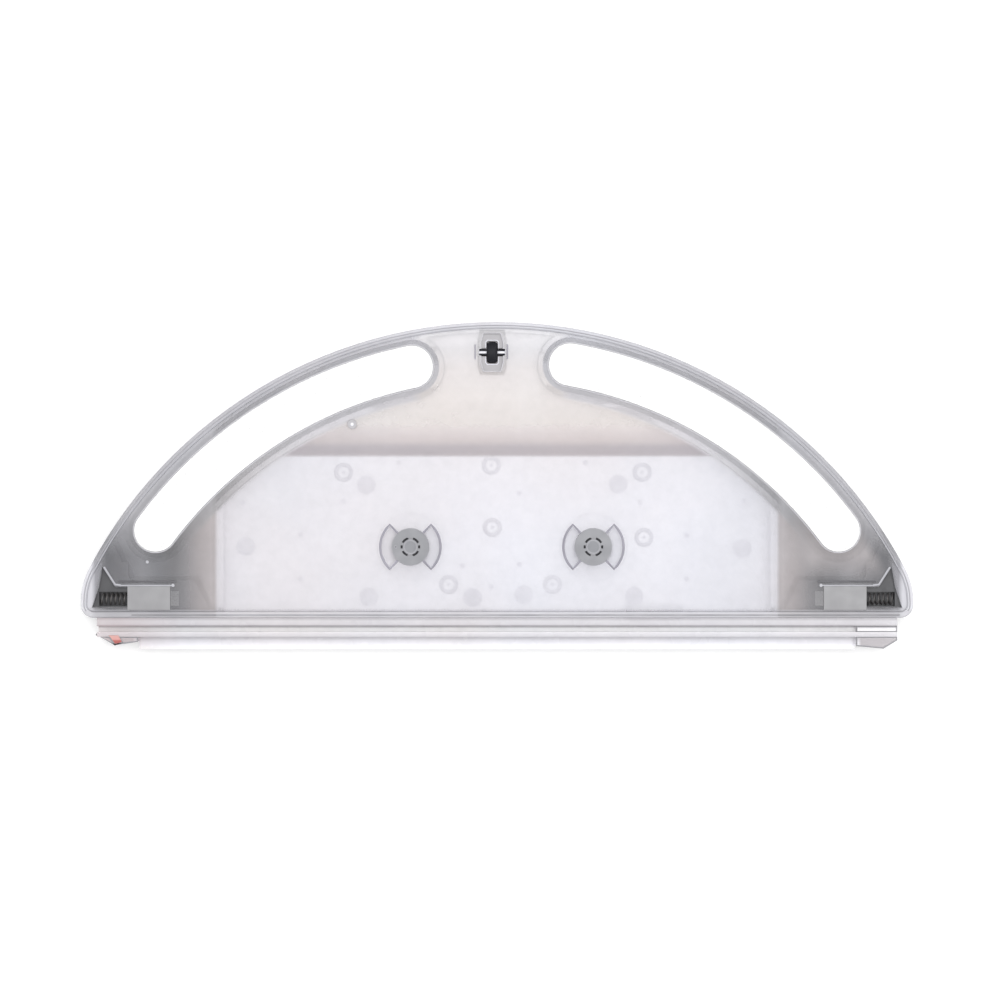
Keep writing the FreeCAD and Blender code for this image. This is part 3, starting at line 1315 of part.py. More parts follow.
def make_fill_plug():
    """Soft hollow bung with a flange outside the front wall and an ear to pull it by."""
    body = new_body("fill_plug")
    wall_face = "(-Sizes.front_face)"
    flange_face = f"({wall_face} + Sizes.bung_flange_thickness)"
    stem = body_sketch(body, "bung_stem", flange_face, "XZ")
    racetrack(stem, "Layout.bung_length", "Layout.bung_height")
    pad(body, stem, "(Sizes.bung_flange_thickness + Sizes.bung_depth)", down=True)
    thickness = "(Sizes.bung_flange_thickness - Sizes.seat_gap)"
    flange = body_sketch(body, "bung_flange", flange_face, "XZ")
    racetrack(flange, "(Layout.bung_length + 2 * Sizes.bung_flange)",
              "(Layout.bung_height + 2 * Sizes.bung_flange)")
    pad(body, flange, thickness, down=True)
    ear = body_sketch(body, "bung_ear", flange_face, "XZ")
    root = "(Layout.fill_x + Layout.bung_length / 2)"
    half_height = "(Sizes.bung_tab_height / 2)"
    rectangle(ear, root, f"({root} + Sizes.bung_tab_reach)",
              f"(Layout.fill_z - {half_height})", f"(Layout.fill_z + {half_height})")
    pad(body, ear, thickness, down=True)
    hollow = body_sketch(body, "bung_hollow", flange_face, "XZ")
    racetrack(hollow, "(Layout.bung_length - 2 * Sizes.bung_wall)",
              "(Layout.bung_height - 2 * Sizes.bung_wall)")
    pocket(body, hollow, "(Sizes.bung_flange_thickness + Sizes.bung_depth - Sizes.bung_wall)")
    return place(body)


# The whole tank


def make_pieces():
    pieces = [make_tray_shell(), make_base_shell(), make_cloth_rail(), make_rail_marker(),
              make_roller(), make_roller_axle(), make_fill_plug(), make_vent_valve()]
    for side, sign in SIDES.items():
        pieces.append(make_hook_pad(side))
        pieces.append(make_outlet_plug(side))
        pieces.append(make_outlet_wick(side))
        pieces.append(make_outlet_seal(side))
        pieces.append(make_latch_button(side, sign))
        pieces.append(make_latch_slider(side, sign))
        pieces.append(make_latch_retainer(side, sign))
        pieces.append(make_latch_spring(side, sign))
    return pieces


def check_and_write(pieces):
    """Make sure that nothing failed, then write one file for each piece."""
    doc.recompute()
    failed = [item.Name for item in doc.Objects
              if "Invalid" in item.State or "Error" in item.State]
    if failed:
        raise RuntimeError(f"failed objects: {failed}")
    os.makedirs("parts", exist_ok=True)
    for piece in pieces:
        shape = piece.Shape
        if shape.isNull() or not shape.isValid():
            raise RuntimeError(f"{piece.Label} has no valid shape")
        shape.exportStep(f"parts/{piece.Label}.step")
        print(piece.Label, len(shape.Solids), round(shape.Volume, 1), shape.BoundBox)


check_and_write(make_pieces())
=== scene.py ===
# %% [markdown]
# # Robot vacuum water tank
# The tank is two frosted mouldings welded together, seen from its underside. Light goes
# through both, so what lies inside shows as soft tones. The solids come from the frame. This
# script gives them their finishes and adds what is too fine for them.

# %% Start
import math

import bmesh
import bpy
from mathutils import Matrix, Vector


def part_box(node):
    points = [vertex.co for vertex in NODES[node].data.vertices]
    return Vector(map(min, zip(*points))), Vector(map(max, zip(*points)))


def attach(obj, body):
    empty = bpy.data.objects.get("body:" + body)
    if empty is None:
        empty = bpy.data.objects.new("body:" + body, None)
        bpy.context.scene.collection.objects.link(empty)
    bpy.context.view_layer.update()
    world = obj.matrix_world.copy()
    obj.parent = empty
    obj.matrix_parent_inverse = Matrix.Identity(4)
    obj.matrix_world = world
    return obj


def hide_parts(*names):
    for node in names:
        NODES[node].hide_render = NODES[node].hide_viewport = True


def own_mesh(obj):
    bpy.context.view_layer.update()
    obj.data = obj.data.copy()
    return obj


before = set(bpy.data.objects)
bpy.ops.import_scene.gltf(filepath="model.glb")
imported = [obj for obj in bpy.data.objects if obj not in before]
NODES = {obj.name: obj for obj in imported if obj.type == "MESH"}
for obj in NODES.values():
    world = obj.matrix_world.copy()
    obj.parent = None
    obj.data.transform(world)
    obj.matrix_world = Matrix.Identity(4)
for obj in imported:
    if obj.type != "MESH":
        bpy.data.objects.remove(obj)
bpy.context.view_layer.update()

MM = 0.001
SIDES = {"left": -1, "right": 1}

# %% [markdown]
# ## Helpers for shader nodes
# Every finish here is a small node tree. A helper that makes one node, sets its sockets and
# links others into it keeps each tree short enough to read from top to bottom.

# %% Shader helpers


def add_node(tree, kind, links=None, **settings):
    """Make a node, set its properties, and fill its inputs with values or other sockets."""
    made = tree.nodes.new(kind)
    for name, value in settings.items():
        setattr(made, name, value)
    for socket, value in (links or {}).items():
        if isinstance(value, bpy.types.NodeSocket):
            tree.links.new(value, made.inputs[socket])
        else:
            made.inputs[socket].default_value = value
    return made


def new_material(name):
    """Empty material with an output node, and the object's own coordinates in metres."""
    material = bpy.data.materials.new(name)
    material.use_nodes = True
    tree = material.node_tree
    tree.nodes.clear()
    output = add_node(tree, "ShaderNodeOutputMaterial")
    place = add_node(tree, "ShaderNodeTexCoord").outputs["Object"]
    return material, tree, output, place


def speckle(tree, place, scale, low, high, detail=2.0):
    """Soft noise that runs between two values."""
    noise = add_node(tree, "ShaderNodeTexNoise",
                     {"Vector": place, "Scale": scale, "Detail": detail})
    spread = add_node(tree, "ShaderNodeMapRange",
                      {"Value": noise.outputs["Fac"], "From Min": 0.35, "From Max": 0.65,
                       "To Min": low, "To Max": high})
    return spread.outputs["Result"]


def blend(tree, factor, first, second):
    """Colour that runs from one to another with a factor. Both may be sockets or tints."""
    first, second = (tint if isinstance(tint, bpy.types.NodeSocket) else (*tint, 1)
                     for tint in (first, second))
    mix = add_node(tree, "ShaderNodeMix", {"Factor": factor, "A": first, "B": second},
                   data_type="RGBA")
    return mix.outputs["Result"]


def calculate(tree, operation, first, second=0.0, third=0.0):
    return add_node(tree, "ShaderNodeMath", {0: first, 1: second, 2: third},
                    operation=operation).outputs[0]


def in_millimetres(tree, place):
    """Places across and upward on the tank, from its coordinates in metres."""
    scaled = add_node(tree, "ShaderNodeVectorMath", {0: place, "Scale": 1000.0},
                      operation="SCALE")
    parts = add_node(tree, "ShaderNodeSeparateXYZ", {"Vector": scaled.outputs["Vector"]})
    return parts.outputs["X"], parts.outputs["Y"]


def away_from(tree, across, upward, x, y):
    """Distance from a point on the tank, in millimetres."""
    sides = [calculate(tree, "SUBTRACT", place, start)
             for place, start in ((across, x), (upward, y))]
    squares = [calculate(tree, "MULTIPLY", side, side) for side in sides]
    return calculate(tree, "SQRT", calculate(tree, "ADD", *squares))


def grain(tree, place, scale, strength, distance):
    """Fine surface texture, as a mould leaves it."""
    noise = add_node(tree, "ShaderNodeTexNoise", {"Vector": place, "Scale": scale})
    bump = add_node(tree, "ShaderNodeBump",
                    {"Height": noise.outputs["Fac"], "Strength": strength,
                     "Distance": distance})
    return bump.outputs["Normal"]


# %% [markdown]
# ## Solid plastics, rubber and steel
# An even colour looks lifeless, so each of these lets its tint and its roughness wander a
# little over the piece. They share one recipe, and each call names a real finish.

# %% Plain finishes


def moulded(name, first, second, rough, metal=0.0, shine=0.5, scale=60.0, relief=0.05):
    """Opaque finish whose tint wanders between two colours."""
    material, tree, output, place = new_material(name)
    patches = speckle(tree, place, scale, 0.0, 1.0)
    surface = add_node(tree, "ShaderNodeBsdfPrincipled", {
        "Base Color": blend(tree, patches, first, second),
        "Roughness": speckle(tree, place, scale * 4, rough - 0.06, rough + 0.06),
        "Normal": grain(tree, place, scale * 60, relief, 0.05 * MM),
        "Metallic": metal,
        "Specular IOR Level": shine,
    })
    tree.links.new(surface.outputs["BSDF"], output.inputs["Surface"])
    return material


grey_plastic = moulded("satin grey plastic", (0.26, 0.258, 0.268), (0.24, 0.237, 0.247), 0.42)
plug_plastic = moulded("plug grey plastic", (0.25, 0.252, 0.27), (0.22, 0.222, 0.238), 0.5)
dark_plastic = moulded("dark carriage plastic", (0.05, 0.05, 0.055), (0.07, 0.07, 0.075), 0.4,
                       shine=0.3)
button_plastic = moulded("pale button plastic", (0.72, 0.72, 0.78), (0.66, 0.66, 0.72), 0.35)
tyre_rubber = moulded("black roller rubber", (0.008, 0.008, 0.012), (0.02, 0.02, 0.025), 0.6,
                      shine=0.15, relief=0.3)
seal_rubber = moulded("soft seal rubber", (0.44, 0.43, 0.45), (0.40, 0.39, 0.41), 0.6)
wick_felt = moulded("damp felt", (0.10, 0.10, 0.10), (0.06, 0.06, 0.06), 0.95, scale=700.0,
                    relief=0.8)
pin_steel = moulded("drawn steel", (0.56, 0.56, 0.58), (0.48, 0.48, 0.50), 0.28, metal=1.0)
dark_steel = moulded("dark spring steel", (0.09, 0.085, 0.085), (0.06, 0.055, 0.055), 0.5,
                     metal=0.4)
hook_white = moulded("white hook tape", (0.88, 0.88, 0.88), (0.86, 0.86, 0.86), 0.8,
                     scale=500.0, relief=0.4)
print("plain finishes", len(bpy.data.materials))

# %% [markdown]
# ## Frosted plastic
# Frosted plastic scatters some light and lets the rest straight through. Mixing a
# see-through shader with a rough one does this without the noise of real refraction. The
# share that one face hides is a plain number for each shell.
#
# What lies below decides how bright the plastic looks: the chamber rests on the white table, the
# ramp leaves it, and the wings hang over air and dark latches. A shader group paints that light
# and shade into the colour by place on the tank, so both shells agree on it.

# %% Painted light and shade of the tank


def tone(red, green, blue):
    """Linear colour of a tone that is given on the usual scale of 0 to 255."""
    return tuple((part / 255) ** 2.2 for part in (red, green, blue))


def tone_ramp(tree, value, stops):
    """Colour that follows a length in millimetres through a list of stops."""
    low, high = stops[0][0], stops[-1][0]
    share = add_node(tree, "ShaderNodeMapRange",
                     {"Value": value, "From Min": low, "From Max": high}).outputs["Result"]
    ramp = add_node(tree, "ShaderNodeValToRGB", {"Fac": share})
    elements = ramp.color_ramp.elements
    while len(elements) < len(stops):
        elements.new(1.0)
    for element, (length, tint) in zip(elements, stops):
        element.position = (length - low) / (high - low)
        element.color = (*tone(*tint), 1)
    return ramp.outputs["Color"]


def edge_at(tree, value, length, soft):
    """0 below a length in millimetres and 1 above it, with a soft step between."""
    return add_node(tree, "ShaderNodeMapRange",
                    {"Value": value, "From Min": length - soft,
                     "From Max": length + soft}).outputs["Result"]


# The outer arc's centre lies this far in front of the origin
ARC_CENTRE = 112.1
# The chamber's floor ends this far back, and the ramp starts
RAMP_START = 11.2
# Radii of the chamber's curved wall, the middle of the pads, the rim's wall and its inner edge
ARC_WALL, PAD_MIDDLE, RIM_WALL, RIM_INSIDE = 147.4, 160.0, 166.0, 171.4
# Painted light and shade, out from the middle to both sides and back from the chamber to the
# neck: bright where the chamber rests on the white table, darker over the wings and where the
# ramp rises
ALONG_CHAMBER = [
    (0, (243, 242, 247)), (60, (242, 241, 246)), (98, (238, 237, 242)), (105.6, (231, 229, 234)),
    (106.6, (188, 182, 183)), (112, (172, 166, 167)), (118, (142, 140, 143)),
    (122, (124, 123, 126)), (128, (128, 128, 132)), (134, (146, 145, 149)),
    (143, (118, 117, 121)), (147, (112, 112, 116)), (151, (150, 149, 154)),
    (154, (168, 167, 173)), (158, (176, 175, 181))]
UP_THE_RAMP = [
    (10.6, (230, 227, 230)), (11.4, (204, 199, 202)), (12.6, (190, 184, 188)),
    (14.8, (194, 188, 192)), (17.2, (218, 210, 210)), (21.5, (233, 226, 225)),
    (24, (237, 232, 229)), (44, (237, 232, 231)), (52, (234, 232, 234)),
    (56, (246, 244, 246)), (60, (248, 246, 248)), (62, (236, 234, 238))]
# Outwards over the pads' border and the rim, where the rim's grey band is painted shade
OUT_TO_THE_RIM = [
    (147.4, (240, 238, 241)), (149.5, (233, 231, 235)), (152, (240, 239, 243)),
    (168.4, (231, 230, 236)), (169.8, (229, 228, 234)), (171.0, (236, 235, 241)),
    (171.6, (236, 235, 241)), (172.0, (208, 207, 213)), (174, (208, 207, 213))]
# Painted shade that lifts from the arc's ends up to its top, where 255 leaves all of the tone:
# on the rim, and on the wall inside the pads
DOWN_THE_RIM = [
    (-30, (200, 200, 200)), (0, (212, 212, 212)), (30, (222, 222, 222)), (50, (236, 236, 236)),
    (62, (255, 255, 255))]
DOWN_THE_WALL = [
    (-30, (160, 160, 160)), (-14, (185, 185, 185)), (6, (240, 240, 240)), (20, (255, 255, 255))]
# The wings start below this place
WINGS_BELOW = -18.0
# Painted light: the right wing has less below it than the left one, so it is painted lighter
# from here on
RIGHT_WING = tone(186, 180, 181)
RIGHT_WING_FROM = (115.0, -31.0)
RIGHT_WING_SHARE = 0.8
# Painted shade on the strip in front of the plate, along the straight edge
FRONT_EDGE = -46.8
FRONT_TONE = tone(200, 198, 203)
FRONT_SHARE = 0.7
# Middles of the round ends that the two pads turn to the neck, and how far their border reaches
PAD_ENDS = [(-32.2, 44.9), (27.6, 45.8)]
PAD_BORDER = 10.3
# Painted light: the pale button lights up the rim's two ends, out from one of these and in front
# of the other
PAINTED_BUTTON_LIGHT = tone(226, 225, 230)
BUTTON_EDGES = (152.4, -28.5)


def neck_share(tree, across, upward, radius):
    """1 on the neck between the pads' round ends, and 0 beyond their borders."""
    share = edge_at(tree, radius, RIM_INSIDE, -0.3)
    for (x, y), sign in zip(PAD_ENDS, (1, -1)):
        outside = edge_at(tree, away_from(tree, across, upward, x, y), PAD_BORDER, 0.35)
        inwards = calculate(tree, "MULTIPLY_ADD", across, sign, -sign * x)
        beside = edge_at(tree, inwards, 2.0, 2.0)
        share = calculate(tree, "MULTIPLY", share, calculate(tree, "MULTIPLY", outside, beside))
    return share


def make_light_and_shade_group():
    """Shader group: place on the tank in metres to the painted light and shade that it shows
    there.
    """
    tree = bpy.data.node_groups.new("tank painted light and shade", "ShaderNodeTree")
    tree.interface.new_socket("Place", in_out="INPUT", socket_type="NodeSocketVector")
    tree.interface.new_socket("Tone", in_out="OUTPUT", socket_type="NodeSocketColor")
    place = tree.nodes.new("NodeGroupInput").outputs["Place"]
    result = tree.nodes.new("NodeGroupOutput")
    across, upward = in_millimetres(tree, place)
    sideways = calculate(tree, "ABSOLUTE", across)
    radius = away_from(tree, across, upward, 0.0, -ARC_CENTRE)
    level = tone_ramp(tree, sideways, ALONG_CHAMBER)
    ramp = tone_ramp(tree, upward, UP_THE_RAMP)
    inner = blend(tree, edge_at(tree, upward, RAMP_START, 0.5), level, ramp)
    left_over = blend(tree, edge_at(tree, radius, PAD_MIDDLE, 1.0),
                      tone_ramp(tree, upward, DOWN_THE_WALL),
                      tone_ramp(tree, upward, DOWN_THE_RIM))
    rim = add_node(tree, "ShaderNodeMix",
                   {"Factor": 1.0, "A": tone_ramp(tree, radius, OUT_TO_THE_RIM),
                    "B": left_over}, data_type="RGBA", blend_type="MULTIPLY")
    outer = blend(tree, neck_share(tree, across, upward, radius), rim.outputs["Result"], ramp)
    outer = blend(tree, edge_at(tree, upward, WINGS_BELOW, 8.0), level, outer)
    at_button = calculate(tree, "MULTIPLY", edge_at(tree, sideways, BUTTON_EDGES[0], 0.8),
                          edge_at(tree, upward, BUTTON_EDGES[1], -2.0))
    outer = blend(tree, at_button, outer, PAINTED_BUTTON_LIGHT)
    whole = blend(tree, edge_at(tree, radius, ARC_WALL, 0.6), inner, outer)
    lit = calculate(tree, "MULTIPLY", edge_at(tree, across, RIGHT_WING_FROM[0], 4.0),
                    edge_at(tree, upward, RIGHT_WING_FROM[1], 4.5))
    lit = calculate(tree, "MULTIPLY", lit, edge_at(tree, radius, RIM_WALL, -2.0))
    whole = blend(tree, calculate(tree, "MULTIPLY", lit, RIGHT_WING_SHARE), whole, RIGHT_WING)
    in_front = calculate(tree, "MULTIPLY", edge_at(tree, upward, FRONT_EDGE, -0.4), FRONT_SHARE)
    tree.links.new(blend(tree, in_front, whole, FRONT_TONE), result.inputs["Tone"])
    return tree


tank_light_and_shade = make_light_and_shade_group()
print("nodes in the tone group", len(tank_light_and_shade.nodes))

# %% [markdown]
# ## One recipe for all see-through parts
# Each is a rough surface in the tank's painted light and shade, mixed with a clear shader. Noise
# of three sizes gives the slight clouds that moulded plastic shows, and a hue that wanders from
# warm to cool.
# Over the wings the plate hides more, because nothing bright lies below them there.

# %% Frosted finishes
# Out from the middle, the chamber ends and the wing starts between these two
CHAMBER_END = (105.0, 108.0)


def see_through(tree, output, share, surface):
    """Mix of a surface and what lies behind it: share is how much one face hides."""
    clear = add_node(tree, "ShaderNodeBsdfTransparent", {"Color": (1, 1, 1, 1)})
    mix = add_node(tree, "ShaderNodeMixShader", {"Fac": share})
    tree.links.new(clear.outputs["BSDF"], mix.inputs[1])
    tree.links.new(surface.outputs["BSDF"], mix.inputs[2])
    tree.links.new(mix.outputs["Shader"], output.inputs["Surface"])


def frosted(name, share, rough, mottle, tint_of=None, wing_share=None):
    """Frosted plastic in the tank's painted light and shade, or in the painted tone that tint_of
    makes. Over the wings it may hide another share, because nothing bright lies below them."""
    material, tree, output, place = new_material(name)
    if tint_of:
        shown = tint_of(tree, place)
    else:
        group = add_node(tree, "ShaderNodeGroup", node_tree=tank_light_and_shade)
        tree.links.new(place, group.inputs["Place"])
        shown = group.outputs["Tone"]
    patches = speckle(tree, place, 22.0, 1.0 - mottle, 1.0, detail=5.0)
    clouds = speckle(tree, place, 260.0, 0.965, 1.015, detail=3.0)
    hue = blend(tree, speckle(tree, place, 16.0, 0.0, 1.0, detail=3.0),
                (1.0, 0.985, 0.98), (0.975, 0.985, 1.0))
    shown = add_node(tree, "ShaderNodeVectorMath", {0: shown, 1: hue},
                     operation="MULTIPLY").outputs["Vector"]
    shaded = add_node(tree, "ShaderNodeVectorMath",
                      {0: shown, "Scale": calculate(tree, "MULTIPLY", patches, clouds)},
                      operation="SCALE")
    surface = add_node(tree, "ShaderNodeBsdfPrincipled", {
        "Base Color": shaded.outputs["Vector"],
        "Roughness": speckle(tree, place, 90.0, rough - 0.05, rough + 0.05),
        "Normal": grain(tree, place, 2500.0, 0.08, 0.05 * MM),
    })
    if wing_share:
        sideways = calculate(tree, "ABSOLUTE", in_millimetres(tree, place)[0])
        share = add_node(tree, "ShaderNodeMapRange", {
            "Value": sideways, "From Min": CHAMBER_END[0], "From Max": CHAMBER_END[1],
            "To Min": share, "To Max": wing_share}).outputs["Result"]
    see_through(tree, output, share, surface)
    return material


# The two shells and the bung take the tank's painted light and shade into their colour
frosted_plate = frosted("frosted underside plastic", 0.30, 0.45, 0.05, wing_share=0.5)
frosted_tray = frosted("frosted tray plastic", 0.70, 0.5, 0.05)
bung_rubber = frosted("pale bung rubber", 0.3, 0.5, 0.03)

# %% [markdown]
# ## Painted light and shade of the rail
# The rail is a clear channel for the cloth's stiff strip. Its thin walls look dark on edge and
# its slot is bright, so painted shade and light follow a list of stops from front to back. The
# guide and the stop at its two ends are greyer, and the red marker's light is painted as a pink
# tint on the plastic near it.

# %% Finish of the rail
# Painted shade where thin walls are seen on edge, and painted light in the bright slot
RAIL_TONES = [
    (-62.0, (255, 255, 255)), (-60.8, (250, 250, 253)), (-60.4, (244, 243, 249)),
    (-58.5, (224, 222, 229)), (-58.1, (206, 204, 210)), (-57.4, (194, 192, 198)),
    (-57.0, (198, 196, 201)), (-55.5, (222, 219, 224)), (-55.1, (255, 254, 255)),
    (-54.0, (255, 254, 255)), (-53.6, (212, 209, 214)), (-53.2, (136, 132, 137)),
    (-52.84, (150, 147, 151)), (-52.3, (208, 205, 210)), (-51.0, (213, 210, 215)),
    (-50.5, (190, 187, 192)), (-49.8, (184, 181, 186))]
GUIDE_TONE = tone(168, 162, 166)
# The guide and the stop lie out from one of these and in front of the other
GUIDE_EDGES = (137.0, -57.3)
# The marker's painted pink light grows from one of these to the other, up to a share
PINK = (0.52, 0.36, 0.35)
PINK_REACH = (-118.0, -142.0)
PINK_SHARE = 0.35


def rail_tint(tree, place):
    """Bands of painted shade and light along the rail, greyer at its two ends, and painted pink
    light near the marker.
    """
    across, upward = in_millimetres(tree, place)
    bands = tone_ramp(tree, upward, RAIL_TONES)
    sideways = calculate(tree, "ABSOLUTE", across)
    at_end = calculate(tree, "MULTIPLY", edge_at(tree, sideways, GUIDE_EDGES[0], 0.6),
                       edge_at(tree, upward, GUIDE_EDGES[1], -0.4))
    near = add_node(tree, "ShaderNodeMapRange",
                    {"Value": across, "From Min": PINK_REACH[0], "From Max": PINK_REACH[1],
                     "To Max": PINK_SHARE}).outputs["Result"]
    return blend(tree, near, blend(tree, at_end, bands, GUIDE_TONE), PINK)


clear_rail = frosted("clear rail plastic", 0.6, 0.25, 0.03, rail_tint)
print("tones across the rail", len(RAIL_TONES))

# %% [markdown]
# ## Roller pin and marker
# The polished pin mirrors a dark room with one bright streak, and the red arrow pales towards
# the channel. Both change only from front to back. A true reflection would need the photo's
# studio, so a tint that follows Y is the steadier way to show them.

# %% Striped finishes
PIN_Y = 50.5
PIN_TONES = [(-1.4, (30, 30, 36)), (-0.6, (40, 40, 46)), (-0.38, (198, 198, 204)),
             (0.28, (198, 198, 204)), (0.5, (45, 45, 52)), (1.4, (25, 25, 30))]
MARKER_TONES = [(-60.0, (150, 66, 60)), (-58.5, (158, 76, 70)), (-58.0, (196, 138, 132)),
                (-56.4, (206, 158, 152))]


def striped(name, stops, offset, rough, metal):
    """Finish whose tone follows Y, measured from an offset in millimetres."""
    material, tree, output, place = new_material(name)
    from_offset = calculate(tree, "SUBTRACT", in_millimetres(tree, place)[1], offset)
    surface = add_node(tree, "ShaderNodeBsdfPrincipled", {
        "Base Color": tone_ramp(tree, from_offset, stops),
        "Roughness": speckle(tree, place, 300.0, rough - 0.05, rough + 0.05),
        "Metallic": metal,
    })
    tree.links.new(surface.outputs["BSDF"], output.inputs["Surface"])
    return material


polished_pin = striped("polished roller pin", PIN_TONES, PIN_Y, 0.35, 0.15)
red_marker = striped("red marker plastic", MARKER_TONES, 0.0, 0.4, 0.0)
print("finishes so far", len(bpy.data.materials))

# %% [markdown]
# ## Dressing the solids
# The frame's own meshes keep their shape and only get a finish. The list pairs each with its
# material by the start of its name.

# %% Finishes of the solids
FINISHES = {
    "tray_shell": frosted_tray, "base_shell": frosted_plate, "cloth_rail": clear_rail,
    "rail_marker": red_marker, "hook_pad": hook_white, "latch_retainer": grey_plastic,
    "latch_spring": pin_steel, "roller_axle": polished_pin, "roller": tyre_rubber,
    "vent_valve": seal_rubber, "latch_button": button_plastic, "latch_slider": dark_plastic,
    "fill_plug": bung_rubber, "outlet_plug": plug_plastic, "outlet_wick": wick_felt,
    "outlet_seal": tyre_rubber,
}
for name, node in NODES.items():
    fitting = [start for start in FINISHES if name.startswith(start)]
    material = FINISHES[max(fitting, key=len)]
    node.data.materials.clear()
    node.data.materials.append(material)
print("dressed", len(NODES))

# %% [markdown]
# ## Shapes that follow a rule
# Many small things on the tank repeat or follow an edge: beads, creases, mould marks, coils
# and the hooks of the tape. Geometry Nodes make them, because one tree with named sizes
# serves every place. Each tree starts from plain points or edges, and its result is kept as
# a plain mesh.

# %% Geometry trees


def new_tree(name, sizes):
    """Geometry tree with one named input for each size, and one for the finish."""
    tree = bpy.data.node_groups.new(name, "GeometryNodeTree")
    tree.is_modifier = True
    sockets = tree.interface
    sockets.new_socket("Geometry", in_out="INPUT", socket_type="NodeSocketGeometry")
    for size, value in sizes.items():
        kind = "NodeSocketInt" if isinstance(value, int) else "NodeSocketFloat"
        sockets.new_socket(size, in_out="INPUT", socket_type=kind).default_value = value
    sockets.new_socket("Material", in_out="INPUT", socket_type="NodeSocketMaterial")
    sockets.new_socket("Geometry", in_out="OUTPUT", socket_type="NodeSocketGeometry")
    return tree, tree.nodes.new("NodeGroupInput").outputs


def finish_tree(tree, given, geometry):
    """The end that all trees share: real copies, in the finish that is asked for."""
    real = add_node(tree, "GeometryNodeRealizeInstances", {"Geometry": geometry})
    painted = add_node(tree, "GeometryNodeSetMaterial",
                       {"Geometry": real.outputs["Geometry"], "Material": given["Material"]})
    add_node(tree, "NodeGroupOutput", {"Geometry": painted.outputs["Geometry"]})


# %% [markdown]
# ## Bars and discs
# A bar is a small rectangle swept along each path, kept level by curve normals that point up.
# A disc is a flat cylinder put on each point. Drawn by hand, each would be a mesh of its own,
# while a tree takes its sizes from named inputs.

# %% Trees for bars and discs


def line_tree():
    """A bar of even width and height along every edge path."""
    tree, given = new_tree("line along a path", {"Width": 0.4 * MM, "Height": 0.1 * MM})
    path = add_node(tree, "GeometryNodeMeshToCurve", {"Mesh": given["Geometry"]})
    level = add_node(tree, "GeometryNodeSetCurveNormal", {"Curve": path.outputs["Curve"]},
                     mode="Z_UP")
    across = add_node(tree, "GeometryNodeCurvePrimitiveQuadrilateral",
                      {"Width": given["Width"], "Height": given["Height"]})
    bar = add_node(tree, "GeometryNodeCurveToMesh",
                   {"Curve": level.outputs["Curve"], "Profile Curve": across.outputs["Curve"],
                    "Fill Caps": True})
    finish_tree(tree, given, bar.outputs["Mesh"])
    return tree


def disc_tree():
    """A flat disc on every point."""
    tree, given = new_tree("disc on a point", {"Radius": 1.0 * MM, "Height": 0.1 * MM})
    disc = add_node(tree, "GeometryNodeMeshCylinder",
                    {"Vertices": 20, "Radius": given["Radius"], "Depth": given["Height"]})
    placed = add_node(tree, "GeometryNodeInstanceOnPoints",
                      {"Points": given["Geometry"], "Instance": disc.outputs["Mesh"]})
    finish_tree(tree, given, placed.outputs["Instances"])
    return tree


# %% [markdown]
# ## Coils and hooks
# A coil is a spiral curve with a round section. A hook is a short bent curve, put on points
# that keep their distance from each other and turned by a random angle. The seed is fixed, so
# each run gives the same hooks.

# %% Trees for coils and hooks


def coil_tree():
    """A coil spring that starts on the point and runs along X."""
    tree, given = new_tree("coil spring", {"Turns": 6.0, "Length": 10.0 * MM,
                                           "Coil radius": 2.0 * MM, "Wire radius": 0.3 * MM})
    helix = add_node(tree, "GeometryNodeCurveSpiral",
                     {"Resolution": 22, "Rotations": given["Turns"],
                      "Start Radius": given["Coil radius"], "End Radius": given["Coil radius"],
                      "Height": given["Length"]})
    across = add_node(tree, "GeometryNodeCurvePrimitiveCircle",
                      {"Resolution": 8, "Radius": given["Wire radius"]})
    wire = add_node(tree, "GeometryNodeCurveToMesh",
                    {"Curve": helix.outputs["Curve"], "Profile Curve": across.outputs["Curve"],
                     "Fill Caps": True})
    placed = add_node(tree, "GeometryNodeInstanceOnPoints",
                      {"Points": given["Geometry"], "Instance": wire.outputs["Mesh"],
                       "Rotation": (0, math.pi / 2, 0)})
    finish_tree(tree, given, placed.outputs["Instances"])
    return tree


def hook_tree():
    """Small bent hooks, scattered over faces and turned every way."""
    tree, given = new_tree("hooks on a face", {"Spacing": 1.1 * MM, "Seed": 7,
                                               "Wire radius": 0.09 * MM})
    points = add_node(tree, "GeometryNodeDistributePointsOnFaces",
                      {"Mesh": given["Geometry"], "Distance Min": given["Spacing"],
                       "Density Max": 3e6, "Seed": given["Seed"]}, distribute_method="POISSON")
    bend = add_node(tree, "GeometryNodeCurvePrimitiveBezierSegment",
                    {"Resolution": 5, "Start": (0, 0, -0.05 * MM),
                     "Start Handle": (0, 0, 0.85 * MM), "End Handle": (0.45 * MM, 0, 0.85 * MM),
                     "End": (0.5 * MM, 0, 0.35 * MM)})
    across = add_node(tree, "GeometryNodeCurvePrimitiveCircle",
                      {"Resolution": 3, "Radius": given["Wire radius"]})
    hook = add_node(tree, "GeometryNodeCurveToMesh",
                    {"Curve": bend.outputs["Curve"], "Profile Curve": across.outputs["Curve"],
                     "Fill Caps": True})
    turn = add_node(tree, "FunctionNodeRandomValue", {2: 0.0, 3: 2 * math.pi,
                                                      "Seed": given["Seed"]}, data_type="FLOAT")
    rotation = add_node(tree, "FunctionNodeAxisAngleToRotation",
                        {"Axis": (0, 0, 1), "Angle": turn.outputs[1]})
    placed = add_node(tree, "GeometryNodeInstanceOnPoints",
                      {"Points": points.outputs["Points"], "Instance": hook.outputs["Mesh"],
                       "Rotation": rotation.outputs["Rotation"]})
    finish_tree(tree, given, placed.outputs["Instances"])
    return tree


